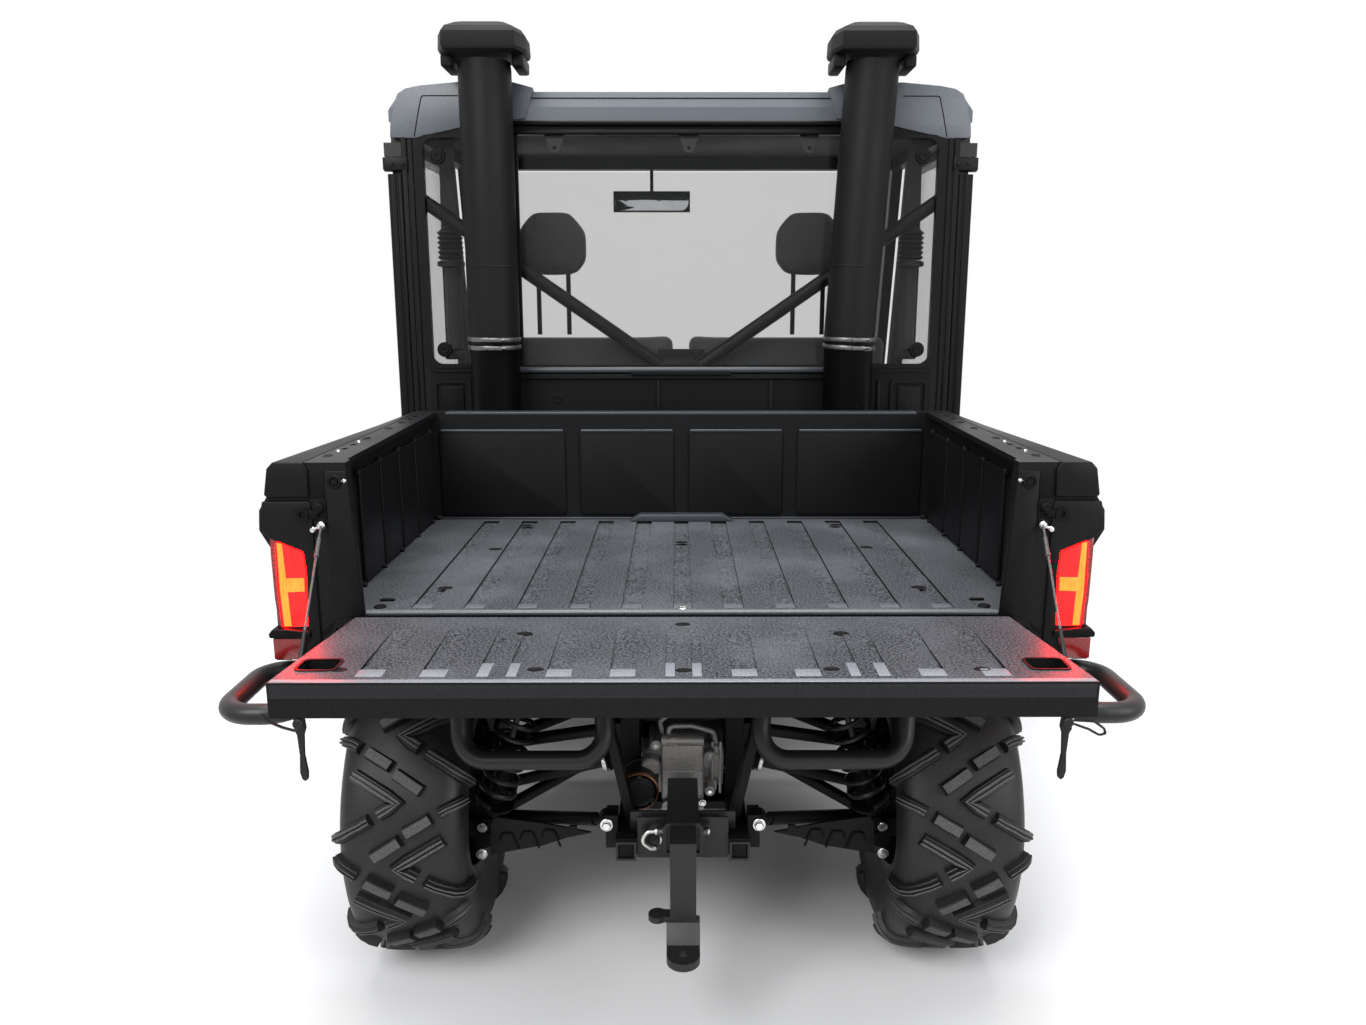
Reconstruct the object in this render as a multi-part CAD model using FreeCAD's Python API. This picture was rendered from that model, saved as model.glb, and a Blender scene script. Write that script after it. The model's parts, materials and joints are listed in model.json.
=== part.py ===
"""Side by side utility vehicle with a full cab, a tipping bed and an open tailgate.

Frame: X to the right, Y forward, Z up, millimetres. Z = 0 is the ground, X = 0
the centre plane, and Y = 0 the middle of the length with the tailgate open.
Stations along Y are counted from the rear axle and shifted once, by rear(y).
Heights are stated with the axles at AXLE_Z and lifted once, by lift(z), so that
a tyre of another radius still stands on the ground.
"""
import FreeCAD, Part
import math
import os

V = FreeCAD.Vector
os.makedirs("parts", exist_ok=True)

# Driving dimensions
WHEELBASE = 2240.0
REAR_AXLE_Y = -1090.0
TYRE_R = 343.0
AXLE_Z = 343.0
TREAD_GAP = 65.0
WHEEL_X = 569.0
REAR_TYRE_W = 262.0
FRONT_TYRE_W = 229.0
RIM_R = 177.7
RIM_W = 196.0
SPINDLE_R = 20.0

# Clearances
SEAT = 0.3
RUN = 6.0
FIT = 0.05

# Bed
BED_FLOOR_Z = 823.0
BED_UNDER_Z = 795.0
BED_IN_X = 705.0
BED_RIM_X = 691.0
BED_TOP_Z = 1136.0
BED_REAR_Y = -197.0
BED_FRONT_Y = 689.0
BED_FRONT_T = 37.0
POST_L = 95.0
POST_IN_LOW_X = 641.0
POST_IN_TOP_X = 662.0
SKIRT_Z = 728.0
LAND_H = 6.0
LAND_MARGIN = 30.0
DUMP_Y = -205.0
DUMP_Z = 745.0
DUMP_X = 330.0
DUMP_PIN_R = 8.0

# Tailgate
GATE_AXIS_Y = -233.0
GATE_AXIS_Z = 800.0
GATE_R = BED_FLOOR_Z + LAND_H - GATE_AXIS_Z
GATE_UNDER_Z = 767.0
GATE_END_Y = -582.0
GATE_HINGE_X = 652.0
GATE_END_X = 691.0
GATE_PIN_R = 8.0
GATE_PIN_L = 14.0
CABLE_X = 714.0
CABLE_Z = 1017.0

# Chassis
RAIL = 40.0
RAIL_X = 115.0
RAIL_Z = 358.0
UPPER_RAIL_X = 330.0
UPPER_RAIL_Z = 720.0
SILL_X = 755.0
SILL_Z = 398.0

# Cab
PILLAR_X = 762.0
PILLAR_W = 36.0
PILLAR = 50.0
PILLAR_IN_X = PILLAR_X - PILLAR_W / 2
CAB_REAR_Y = 885.0
CAB_TOP_Z = 1938.0
CAB_OUT_X = 830.0
WAIST_Z = 1180.0
A_POST_Y = WHEELBASE - 450.0
A_TOP_Y = A_POST_Y - 205.0
DOOR_T = 44.0
DOOR_REAR_Y = CAB_REAR_Y + 20.0
DOOR_FRONT_Y = A_POST_Y - 35.0
DOOR_LOW_Z = 470.0
DOOR_HINGE_X = 838.0
DOOR_HINGE_Y = CAB_REAR_Y + 7.0
ROOF_T = 88.0
GLASS_T = 6.0
BRACE_Y = 927.0
BRACE_R = 20.0
SEAT_TOP_Y = 1020.0
SEAT_TOP_Z = 1350.0

# Front body
BODY_X = 820.0
BODY_T = 25.0
BODY_REAR_Y = A_POST_Y - 27.0
BODY_LOW_Z = 372.0
CHIN_Z = 480.0
CHIN_REAR_Y = WHEELBASE + 60.0
ARCH_R = TYRE_R + TREAD_GAP
HOOD_X = 470.0
HOOD_REAR_Y = WHEELBASE - 250.0
HOOD_FRONT_Y = WHEELBASE + 320.0

# Steering
KING_X = 505.0
ARM_BACK = 92.0
RACK_Z = 417.0
RACK_R = 14.0
STEER_X = -385.0
STEER_Y = A_POST_Y - 310.0
STEER_Z = 1065.0
STEER_TILT = 35.0
STEER_R = 180.0
STEER_SHAFT_R = 18.0
STEER_SHAFT_L = 96.0

# Bed strut
STRUT_LOW = (-25.0, 570.0)
STRUT_HIGH = (100.0, 765.0)
STRUT_TUBE_R = 14.0
STRUT_ROD_R = 6.0
ROD_START = 18.0

# Snorkels
SNORKEL_R = 73.0
SNORKEL_Y = 806.0
SNORKEL_TOP_Z = 2173.0
SNORKEL_SHELF_X = 620.0


def rear(y):
    """Y of a station counted forward from the rear axle."""
    return REAR_AXLE_Y + y


def lift(z):
    """Height above the ground of a height stated with the axles at AXLE_Z."""
    return TYRE_R - AXLE_Z + z


def at(x, y, z):
    return V(x, rear(y), lift(z))


def box(x, y, z):
    """Box from three (low, high) pairs, Y as a station."""
    return Part.makeBox(x[1] - x[0], y[1] - y[0], z[1] - z[0], at(x[0], y[0], z[0]))


def rod(p, q, radius):
    """Round bar between two points given as (x, station, z)."""
    start = at(*p)
    run = at(*q) - start
    return Part.makeCylinder(radius, run.Length, start, run)


def beam(p, q, width, height):
    """Straight bar with a rectangular section, its width held level."""
    start = at(*p)
    run = at(*q) - start
    along = V(run).normalize()
    side = along.cross(V(0, 0, 1))
    side = V(1, 0, 0) if side.Length < 1e-6 else side.normalize()
    up = side.cross(along)
    corners = [start + side * (width / 2 * a) + up * (height / 2 * b)
               for a, b in ((-1, -1), (1, -1), (1, 1), (-1, 1))]
    return Part.Face(Part.makePolygon(corners + corners[:1])).extrude(run)


def side_prism(outline, x):
    """Outline of (station, z) points swept along X between x[0] and x[1]."""
    points = [at(x[0], y, z) for y, z in outline]
    face = Part.Face(Part.makePolygon(points + points[:1]))
    return face.extrude(V(x[1] - x[0], 0, 0))


def front_prism(outline, y):
    """Outline of (x, z) points swept along Y between two stations."""
    points = [at(x, y[0], z) for x, z in outline]
    face = Part.Face(Part.makePolygon(points + points[:1]))
    return face.extrude(V(0, y[1] - y[0], 0))


def plan_prism(outline, z):
    """Outline of (x, station) points swept up between two heights."""
    points = [at(x, y, z[0]) for x, y in outline]
    face = Part.Face(Part.makePolygon(points + points[:1]))
    return face.extrude(V(0, 0, z[1] - z[0]))


def bent_tube(points, radius, bend):
    """Round bar through (x, station, z) points, each corner an arc of radius bend."""
    path = [at(*p) for p in points]
    edges = []
    last = path[0]
    for i in range(1, len(path) - 1):
        back = (path[i - 1] - path[i]).normalize()
        ahead = (path[i + 1] - path[i]).normalize()
        turn = math.pi - back.getAngle(ahead)
        reach = bend * math.tan(turn / 2)
        start = path[i] + back * reach
        end = path[i] + ahead * reach
        inward = (back + ahead).normalize()
        centre = path[i] + inward * (bend / math.cos(turn / 2))
        edges.append(Part.LineSegment(last, start).toShape())
        edges.append(Part.Arc(start, centre - inward * bend, end).toShape())
        last = end
    edges.append(Part.LineSegment(last, path[-1]).toShape())
    wire = Part.Wire(edges)
    ring = Part.Wire(Part.Circle(path[0], path[1] - path[0], radius).toShape())
    return wire.makePipeShell([ring], True, False)


def fused(shapes):
    shapes = list(shapes)
    if len(shapes) == 1:
        return shapes[0]
    return shapes[0].multiFuse(shapes[1:]).removeSplitter()


def cut(shape, tools):
    for tool in tools:
        shape = shape.cut(tool)
    return shape


def mirrored(shape):
    return shape.mirror(V(0, 0, 0), V(1, 0, 0))


def both(shape):
    """The shape and its mirror image across the centre plane."""
    return [shape, mirrored(shape)]


def save(node, shapes):
    """Write one STEP file holding the solids of all the given shapes."""
    solids = [s for shape in shapes for s in shape.Solids]
    for solid in solids:
        if not solid.isValid():
            print("invalid solid in", node)
    shape = solids[0] if len(solids) == 1 else Part.makeCompound(solids)
    shape.exportStep("parts/" + node + ".step")
    volume = sum(s.Volume for s in solids) / 1e9
    print(f"{node:18s} solids {len(solids):2d}  volume {volume:.4f} m3")


# Chassis frame
def cross_beam(half_x, y, z):
    """Level beam across the frame; y and z are its (low, high) pairs."""
    return box((-half_x, half_x), y, z)


def pivot_cheeks(x, y, z, z_low):
    """Two plates on the outer face of a member that hold an arm's bush at (x, z)."""
    reach = (RAIL_X + RAIL / 2 - 1, x + 2)
    return [box(reach, (y + s * 20 - 2.5, y + s * 20 + 2.5), (z_low, z + 20)) for s in (-1, 1)]


REAR_LOWER_PIVOT = (157.0, 390.0)
REAR_UPPER_PIVOT = (157.0, 520.0)
FRONT_LOWER_PIVOT = (157.0, 370.0)
FRONT_UPPER_PIVOT = (157.0, 500.0)
REAR_LOWER_BUSHES = (-230.0, 130.0)
REAR_UPPER_BUSHES = (-65.0, 130.0)
FRONT_LOWER_BUSHES = (-150.0, 150.0)
FRONT_UPPER_BUSHES = (-65.0, 65.0)
BUSH_R = 18.0
BUSH_L = 34.0


def make_frame():
    low = RAIL_Z - RAIL / 2
    top = RAIL_Z + RAIL / 2
    rail_x = (RAIL_X - RAIL / 2, RAIL_X + RAIL / 2)
    upper = (UPPER_RAIL_Z - RAIL / 2, UPPER_RAIL_Z + RAIL / 2)
    upper_x = (UPPER_RAIL_X - RAIL / 2, UPPER_RAIL_X + RAIL / 2)
    half = []
    half.append(box(rail_x, (-300, WHEELBASE + 320), (low, top)))
    half.append(box(upper_x, (-180, 826), upper))
    # Uprights from the lower rails to the upper cross beams
    for y in (-65, 130, 806):
        half.append(box(rail_x, (y - 20, y + 20), (top - 1, upper[1])))
    half.append(beam((170, -204, 668), (100, -204, low + 10), 44, 18))
    # Cab sills
    half.append(box((SILL_X - 20, SILL_X + 20), (700, A_POST_Y + 25), (SILL_Z - 20, SILL_Z + 20)))
    # Front tower
    for dy in (-65, 65):
        y = WHEELBASE + dy
        half.append(box(rail_x, (y - 20, y + 20), (top - 1, 820)))
    half.append(box(rail_x, (WHEELBASE - 360, WHEELBASE + 320), (780, 820)))
    half.append(box(rail_x, (WHEELBASE + 280, WHEELBASE + 320), (top - 1, 781)))
    # Bed hinge cheeks
    for x in (DUMP_X - 20, DUMP_X + 8):
        cheek = side_prism([(-150, 700), (-150, 740), (-190, 764), (-222, 760), (-226, 728), (-190, 700)],
                           (x, x + 12))
        half.append(cheek)
    half.append(rod((DUMP_X - 26, DUMP_Y, DUMP_Z), (DUMP_X + 26, DUMP_Y, DUMP_Z), DUMP_PIN_R))
    # Arm brackets
    for y in REAR_LOWER_BUSHES:
        half += pivot_cheeks(REAR_LOWER_PIVOT[0], y, REAR_LOWER_PIVOT[1], low)
    for y in REAR_UPPER_BUSHES:
        half += pivot_cheeks(REAR_UPPER_PIVOT[0], y, REAR_UPPER_PIVOT[1], 500)
    for dy in FRONT_LOWER_BUSHES:
        half += pivot_cheeks(FRONT_LOWER_PIVOT[0], WHEELBASE + dy, FRONT_LOWER_PIVOT[1], low)
    for dy in FRONT_UPPER_BUSHES:
        half += pivot_cheeks(FRONT_UPPER_PIVOT[0], WHEELBASE + dy, FRONT_UPPER_PIVOT[1], 480)
    whole = half + [mirrored(s) for s in half]
    for y in ((-85, -45), (110, 150)):
        whole.append(cross_beam(UPPER_RAIL_X + 20, y, upper))
    whole.append(cross_beam(SNORKEL_SHELF_X, (SNORKEL_Y - 20, SNORKEL_Y + 20), upper))
    for y in ((700, 740), (A_POST_Y - 550, A_POST_Y - 510), (A_POST_Y - 15, A_POST_Y + 25)):
        whole.append(cross_beam(SILL_X + 20, y, (top - 1, SILL_Z + 20)))
    for y in ((300, 340), (620, 660)):
        whole.append(cross_beam(RAIL_X + 20, y, (top - 1, SILL_Z + 20)))
    whole.append(cross_beam(RAIL_X, (-60, 60), (low - 16, low + 2)))
    whole.append(cross_beam(285, (WHEELBASE - 84, WHEELBASE - 46), (780, 818)))
    whole.append(cross_beam(RAIL_X, (WHEELBASE + 280, WHEELBASE + 320), (low, top)))
    whole.append(cross_beam(RAIL_X, (WHEELBASE + 280, WHEELBASE + 320), (780, 820)))
    whole.append(cross_beam(RAIL_X, (-85, -45), (STRUT_LOW[1] - 20, STRUT_LOW[1] + 20)))
    # Strut bracket
    for x in (-16, 10):
        whole.append(side_prism([(-46, 553), (-22, 555), (-12, 570), (-22, 585), (-46, 588)], (x, x + 6)))
    # Rack housing
    rack_y = WHEELBASE - ARM_BACK
    whole.append(box((-130, 130), (rack_y - 21, rack_y + 21), (RACK_Z - 22, RACK_Z + 22)))
    body = fused(whole)
    rack = rod((-140, rack_y, RACK_Z), (140, rack_y, RACK_Z), RACK_R + FIT)
    pockets = [box((s * RAIL_X - 15, s * RAIL_X + 15), (-301, -240), (RAIL_Z - 15, RAIL_Z + 15))
               for s in (-1, 1)]
    low_pin = rod((-20, STRUT_LOW[0], STRUT_LOW[1]), (20, STRUT_LOW[0], STRUT_LOW[1]), 5)
    body = fused([cut(body, [rack] + pockets), low_pin])
    save("frame", [body])


# Engine, gearboxes and the round actuator on the rear gearbox
FRONT_SHAFT_Z = 425.0
REAR_SHAFT_Z = 430.0


def make_drivetrain():
    save("engine", [box((-200, 200), (270, 690), (SILL_Z + 20 + SEAT, 690))])
    rear_box = fused([
        box((-45, 45), (-95, 95), (RAIL_Z - 18 + SEAT, 520)),
        rod((-75, 0, 430), (91, 0, 430), 70),
        rod((-88, 0, 430), (94, 0, 430), 34),
        rod((-46, -102, 508), (46, -102, 508), 13),
        rod((-46, -102, 352), (46, -102, 352), 13),
        box((-94, -40), (-92, -60), (380, 450)),
        rod((44, -60, 470), (80, -60, 470), 16),
        rod((44, -62, 385), (76, -62, 385), 14),
    ])
    inner = RAIL_X - RAIL / 2 - SEAT
    front_box = fused([
        box((-inner, inner), (WHEELBASE - 70, WHEELBASE + 70), (345, 490)),
        rod((-inner + 4, WHEELBASE, FRONT_SHAFT_Z), (inner - 4, WHEELBASE, FRONT_SHAFT_Z), 60),
    ])
    can = fused([
        rod((-93, -92 - SEAT, 419), (-93, -160, 419), 40),
        rod((-93, -159, 419), (-93, -172, 419), 30),
    ])
    save("gearboxes", [rear_box, front_box, can])


# Double wishbones, knuckles, half shafts and shocks
def wishbone(pivot, bushes, outer, shift):
    """Two bushes on the frame, each with a leg that runs to the outer point."""
    x, z = pivot
    pieces = []
    for y in bushes:
        start = at(x, shift + y, z)
        run = at(*outer) - start
        step = V(run).normalize() * 34
        pieces.append(rod((x, shift + y - BUSH_L / 2, z), (x, shift + y + BUSH_L / 2, z), BUSH_R))
        pieces.append(Part.makeCylinder(11, run.Length, start, run))
        pieces.append(Part.makeCylinder(14, (run - step).Length, start + step, run))
    return fused(pieces)


KNUCKLE_X = 462.0
REAR_LOWER_OUT = (KNUCKLE_X - SEAT - 20.0, 0.0, 275.0)
REAR_UPPER_OUT = (KNUCKLE_X - SEAT - 17.0, 0.0, 450.0)
SHOCK_BACK = 100.0


def make_rear_suspension():
    low, high = REAR_LOWER_OUT, REAR_UPPER_OUT
    lower = fused([
        wishbone(REAR_LOWER_PIVOT, REAR_LOWER_BUSHES, low, 0),
        rod((low[0], -SHOCK_BACK - 12, low[2]), (low[0], 75, low[2]), 20),
    ])
    upper = fused([
        wishbone(REAR_UPPER_PIVOT, REAR_UPPER_BUSHES, high, 0),
        rod((high[0], -40, high[2]), (high[0], 40, high[2]), 17),
    ])
    guard_outline = [(196, 330), (226, 336), (226, 345), (242, 345), (242, 340), (300, 352),
                     (400, 366), (410, 352), (414, 279), (300, 300), (250, 318)]
    guard = front_prism(guard_outline, (-178, -172))
    save("rear_arms", both(lower) + both(upper) + both(guard))
    face = KNUCKLE_X
    knuckle = fused([
        box((face, face + 38), (-60, 60), (255, 295)),
        box((face + 4, face + 38), (-40, 40), (290, 470)),
        box((face, face + 38), (-35, 35), (430, 470)),
        rod((face, 0, AXLE_Z), (face + 46, 0, AXLE_Z), 62),
        rod((face + 38, 0, AXLE_Z), (625, 0, AXLE_Z), SPINDLE_R),
    ])
    save("rear_knuckles", both(knuckle))


def half_shaft(inner, outer):
    """Bar with a stepped rubber boot at each end, trimmed flat at both faces."""
    a, b = at(*inner), at(*outer)
    run = b - a
    along = V(run).normalize()
    pieces = [Part.makeCylinder(13, run.Length + 20, a - along * 10, run)]
    for start, sign in ((a, 1), (b, -1)):
        for k, radius in enumerate((40, 36, 31, 26, 21)):
            spot = start + along * (sign * (16 * k - 10))
            pieces.append(Part.makeCylinder(radius, 17, spot, along * sign))
    keep = box((inner[0], outer[0]), (inner[1] - 100, inner[1] + 100), (200, 600))
    return fused(pieces).common(keep)


def make_half_shafts():
    rear_shaft = half_shaft((94 + SEAT, 0, REAR_SHAFT_Z), (KNUCKLE_X - SEAT, 0, AXLE_Z))
    inner = RAIL_X - RAIL / 2 + SEAT
    front_shaft = half_shaft((inner, WHEELBASE, FRONT_SHAFT_Z), (470, WHEELBASE, AXLE_Z + 5))
    save("half_shafts", both(rear_shaft) + both(front_shaft))


def shock(low, high, spring_r):
    """Damper with a coil spring shown as a stack of rings."""
    a, b = at(*low), at(*high)
    run = b - a
    along = V(run).normalize()
    length = run.Length
    pieces = [Part.makeCylinder(11, length, a, run),
              Part.makeCylinder(24, length * 0.45, b - along * (length * 0.45), along)]
    start, end, turns = 60.0, length - 40.0, 8
    pitch = (end - start) / turns
    for k in range(turns):
        spot = a + along * (start + pitch * (k + 0.5))
        pieces.append(Part.makeCylinder(spring_r, pitch * 0.45, spot, along))
    for k in (start - 8, end):
        pieces.append(Part.makeCylinder(spring_r - 4, 10, a + along * k, along))
    pieces.append(Part.makeCylinder(16, 24, a - V(0, 12, 0), V(0, 1, 0)))
    pieces.append(Part.makeCylinder(16, 24, b - V(0, 12, 0), V(0, 1, 0)))
    return fused(pieces)


def make_shocks():
    low_z = REAR_LOWER_OUT[2] + 20 + 16 + SEAT
    high_z = UPPER_RAIL_Z - RAIL / 2 - 16 - SEAT
    rear_shock = shock((432, -SHOCK_BACK, low_z), (322, -SHOCK_BACK, high_z), 46)
    front_shock = shock((345, WHEELBASE, 508), (262, WHEELBASE - 65, 780 - 16 - SEAT), 44)
    save("shocks", both(rear_shock) + both(front_shock))


def make_front_arms():
    low_z, high_z = 275.0, 452.0
    low_eye = rod((KING_X, WHEELBASE, low_z - 12), (KING_X, WHEELBASE, low_z + 12), 26)
    high_eye = rod((KING_X, WHEELBASE, high_z - 10), (KING_X, WHEELBASE, high_z + 10), 24)
    lower = wishbone(FRONT_LOWER_PIVOT, FRONT_LOWER_BUSHES, (KING_X, WHEELBASE, low_z), WHEELBASE)
    upper = wishbone(FRONT_UPPER_PIVOT, FRONT_UPPER_BUSHES, (KING_X, WHEELBASE, high_z), WHEELBASE)
    saddle = rod((345, WHEELBASE - 45, 481), (345, WHEELBASE + 45, 481), 10.7)
    bore = rod((KING_X, WHEELBASE, low_z - 60), (KING_X, WHEELBASE, high_z + 60), 12 + FIT)
    # Room for the knuckle between the two eyes
    room = rod((KING_X, WHEELBASE, low_z + 12), (KING_X, WHEELBASE, high_z - 10), 40)
    lower = cut(fused([lower, low_eye]), [bore, room])
    upper = cut(fused([upper, high_eye, saddle]), [bore, room])
    save("front_arms", both(lower) + both(upper))


def make_front_knuckle(sign, node):
    upright = [
        rod((KING_X, WHEELBASE, 289), (KING_X, WHEELBASE, 440), 22),
        rod((KING_X, WHEELBASE, 262), (KING_X, WHEELBASE, 466), 12),
        rod((KING_X, WHEELBASE, AXLE_Z), (KING_X + 30, WHEELBASE, AXLE_Z), 52),
        rod((KING_X, WHEELBASE, AXLE_Z), (640, WHEELBASE, AXLE_Z), SPINDLE_R),
        beam((KING_X, WHEELBASE, 395), (KING_X - 12, WHEELBASE - ARM_BACK, 395), 34, 14),
        rod((KING_X - 12, WHEELBASE - ARM_BACK, 388), (KING_X - 12, WHEELBASE - ARM_BACK, 402), 20),
    ]
    body = fused(upright)
    save(node, [body if sign > 0 else mirrored(body)])


# Wheels
TYRE_FACETS = 24
BEAD_R = (RIM_R + SEAT) / math.cos(math.pi / TYRE_FACETS)
TYRE_PROFILE = (
    # width share, radius
    (0.37, BEAD_R), (0.375, 202.0), (0.50, TYRE_R - 81.0), (0.45, TYRE_R - 35.0), (0.34, TYRE_R - 18.0),
)
TREAD_TURNS = 16
LUG_DEPTH = 44.0
LUGS = (
    # each end as width share across and length along from the repeat's start, then the lug's width
    ((-0.02, -2.0), (0.46, 70.0), 26.0),
    ((0.19, -37.0), (0.47, -82.0), 24.0),
)


def round_the_wheel(x, angle, radius, along=0.0):
    """Point at a radius and angle about the X axis, moved along the tangent there."""
    c, s = math.cos(angle), math.sin(angle)
    return V(x, radius * s + along * c, radius * c - along * s)


def tyre_lug(width, start, end, thick, side, turn):
    """Block whose flat top touches the tread radius at its corners, sunk into the ring."""
    a, b = V(start[0] * width * side, start[1], 0), V(end[0] * width * side, end[1], 0)
    along = (b - a).normalize()
    across = V(-along.y, along.x, 0) * (thick / 2)
    middle = (a + b) * 0.5
    corners = [a + across, a - across, b - across, b + across]
    top = math.sqrt(TYRE_R ** 2 - max(abs(c.y - middle.y) for c in corners) ** 2)
    angle = turn + middle.y / TYRE_R
    points = [round_the_wheel(c.x, angle, top, c.y - middle.y) for c in corners]
    face = Part.Face(Part.makePolygon(points + points[:1]))
    return face.extrude(round_the_wheel(0, angle, -LUG_DEPTH))


def tyre(width):
    """Faceted ring about the X axis with oblique lugs that change sides at each repeat."""
    side = [(share * width, r) for share, r in TYRE_PROFILE]
    section = side + [(-x, r) for x, r in reversed(side)]
    step = 2 * math.pi / TYRE_FACETS
    faces = []
    for k in range(TYRE_FACETS):
        rings = [[round_the_wheel(x, angle, r) for x, r in section] for angle in (k * step, (k + 1) * step)]
        for i in range(len(section)):
            j = (i + 1) % len(section)
            corners = [rings[0][i], rings[0][j], rings[1][j], rings[1][i]]
            faces.append(Part.Face(Part.makePolygon(corners + corners[:1])))
    ring = Part.Solid(Part.makeShell(faces))
    if ring.Volume < 0:
        ring.reverse()
    blocks = []
    for k in range(TREAD_TURNS):
        for start, end, thick in LUGS:
            side = 1 if k % 2 else -1
            blocks.append(tyre_lug(width, start, end, thick, side, 2 * math.pi * k / TREAD_TURNS))
    return ring.multiFuse(blocks).removeSplitter()


def rim(spokes=7):
    """Dished wheel: barrel with two flanges, hub and spokes, outer face at +X."""
    half = RIM_W / 2
    flange_r = 190.0
    outline = [(-half - 8, 176), (-half - 8, flange_r), (-half - 2, flange_r), (-half - 2, RIM_R),
               (half + 2, RIM_R), (half + 2, flange_r), (half + 8, flange_r), (half + 8, 168),
               (-half - 8 + 6, 168)]
    points = [V(x, 0, z) for x, z in outline]
    barrel = Part.Face(Part.makePolygon(points + points[:1])).revolve(V(0, 0, 0), V(1, 0, 0), 360)
    hub = Part.makeCylinder(66, 46, V(40, 0, 0), V(1, 0, 0))
    pieces = [barrel, hub]
    for k in range(spokes):
        arm = Part.makeBox(26, 44, 120, V(52, -22, 55))
        arm.rotate(V(0, 0, 0), V(1, 0, 0), 360.0 * k / spokes)
        pieces.append(arm)
    body = fused(pieces)
    limit = Part.makeCylinder(RIM_R, 400, V(-200, 0, 0), V(1, 0, 0))
    ring = Part.makeCylinder(flange_r, 400, V(-200, 0, 0), V(1, 0, 0)).cut(limit)
    body = body.cut(ring.cut(barrel))
    return body.cut(Part.makeCylinder(SPINDLE_R + FIT, 400, V(-200, 0, 0), V(1, 0, 0)))


WHEELS = (
    # name, side, station, tyre width
    ("rl", -1, 0.0, REAR_TYRE_W),
    ("rr", 1, 0.0, REAR_TYRE_W),
    ("fl", -1, WHEELBASE, FRONT_TYRE_W),
    ("fr", 1, WHEELBASE, FRONT_TYRE_W),
)


def make_wheels():
    for name, side, station, width in WHEELS:
        for node, shape in (("tyre_" + name, tyre(width)), ("rim_" + name, rim())):
            placed = shape if side > 0 else mirrored(shape)
            placed = placed.copy()
            placed.translate(at(side * WHEEL_X, station, AXLE_Z))
            save(node, [placed])


# Bumpers and hitch
def make_bumpers():
    z = 695.0
    # The cross tube keeps behind larger tyres
    cross = -235.0 - 0.4 * max(0.0, TYRE_R - AXLE_Z)
    left = [(-UPPER_RAIL_X - RAIL / 2 - SEAT, -165, z), (-862, -165, z), (-862, -395, z), (-726, -395, z),
            (-726, cross, z)]
    right = [(-x, y, h) for x, y, h in reversed(left)]
    ring = bent_tube(left + right, 20, 58)
    dip = cross - 65.0
    hoop = bent_tube([(453, cross - 2, z), (438, dip, 556), (151, dip, 556), (163, cross - 2, z)], 19, 55)
    save("rear_bumper", [fused([ring, hoop, mirrored(hoop)])])
    y = WHEELBASE + 498
    top = bent_tube([(-300, y - 60, 395), (-330, y, 640), (-260, y, 800), (260, y, 800), (330, y, 640),
                     (300, y - 60, 395)], 21, 70)
    base = rod((-330, y - 60, 395), (330, y - 60, 395), 19)
    bar = rod((-520, y, 600), (520, y, 600), 19)
    feet = []
    for x in (-RAIL_X, RAIL_X):
        feet.append(box((x - 20, x + 20), (WHEELBASE + 320 + SEAT, y - 55), (RAIL_Z - 20, RAIL_Z + 20)))
        feet.append(beam((x, y - 60, 395), (x, y, 600), 40, 10))
    save("front_bumper", [fused([top, base, bar] + feet)])


HITCH_Z = 405.0
TONGUE_Y = -452.0
TONGUE_Z = 215.0
TONGUE_T = 16.0
TONGUE_HOLE_R = 9.8
HITCH_PIN_R = 8.0


def make_hitch():
    plate = box((-92, 92), (-286, -280), (335, 424))
    tube = box((-32, 32), (-335, -140), (HITCH_Z - 32, HITCH_Z + 32))
    bore = box((-25.7, 25.7), (-336, -139), (HITCH_Z - 25.7, HITCH_Z + 25.7))
    wings = box((-RAIL_X + 20 + SEAT, RAIL_X - 20 - SEAT), (-281, -262), (380 - 42, 378))
    pin_hole = rod((-40, -305, HITCH_Z), (40, -305, HITCH_Z), HITCH_PIN_R + FIT)
    receiver = cut(fused([plate, tube, wings]), [bore, pin_hole])
    save("hitch_receiver", [receiver])
    shank = box((-25.4, 25.4), (-400, -160), (HITCH_Z - 25.4, HITCH_Z + 25.4))
    drop = box((-25.4, 25.4), (-400, -375), (TONGUE_Z + 20, HITCH_Z))
    ramp = side_prism([(-375, 262), (-375, 235), (-425, TONGUE_Z), (-425, TONGUE_Z + TONGUE_T), (-400, 262)],
                      (-32, 32))
    tongue = fused([box((-32, 32), (TONGUE_Y, -420), (TONGUE_Z, TONGUE_Z + TONGUE_T)),
                    rod((0, TONGUE_Y, TONGUE_Z), (0, TONGUE_Y, TONGUE_Z + TONGUE_T), 32)])
    tab = fused([box((-50, -20), (-398, -372), (262, 274)), rod((-50, -385, 262), (-50, -385, 274), 18)])
    hole = rod((0, TONGUE_Y, TONGUE_Z - 5), (0, TONGUE_Y, TONGUE_Z + TONGUE_T + 5), TONGUE_HOLE_R)
    bar = cut(fused([shank, drop, ramp, tongue, tab]), [hole, pin_hole])
    pin = rod((-52, -305, HITCH_Z), (50, -305, HITCH_Z), HITCH_PIN_R)
    loop = Part.makeTorus(18, 4, at(-56, -305, HITCH_Z - 18), V(0.3, 1, 0))
    save("drawbar", [bar, fused([pin, loop])])


# Cab structure
HINGE_Z = (650.0, 1806.0)
HINGE_PIN_R = 5.0


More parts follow.
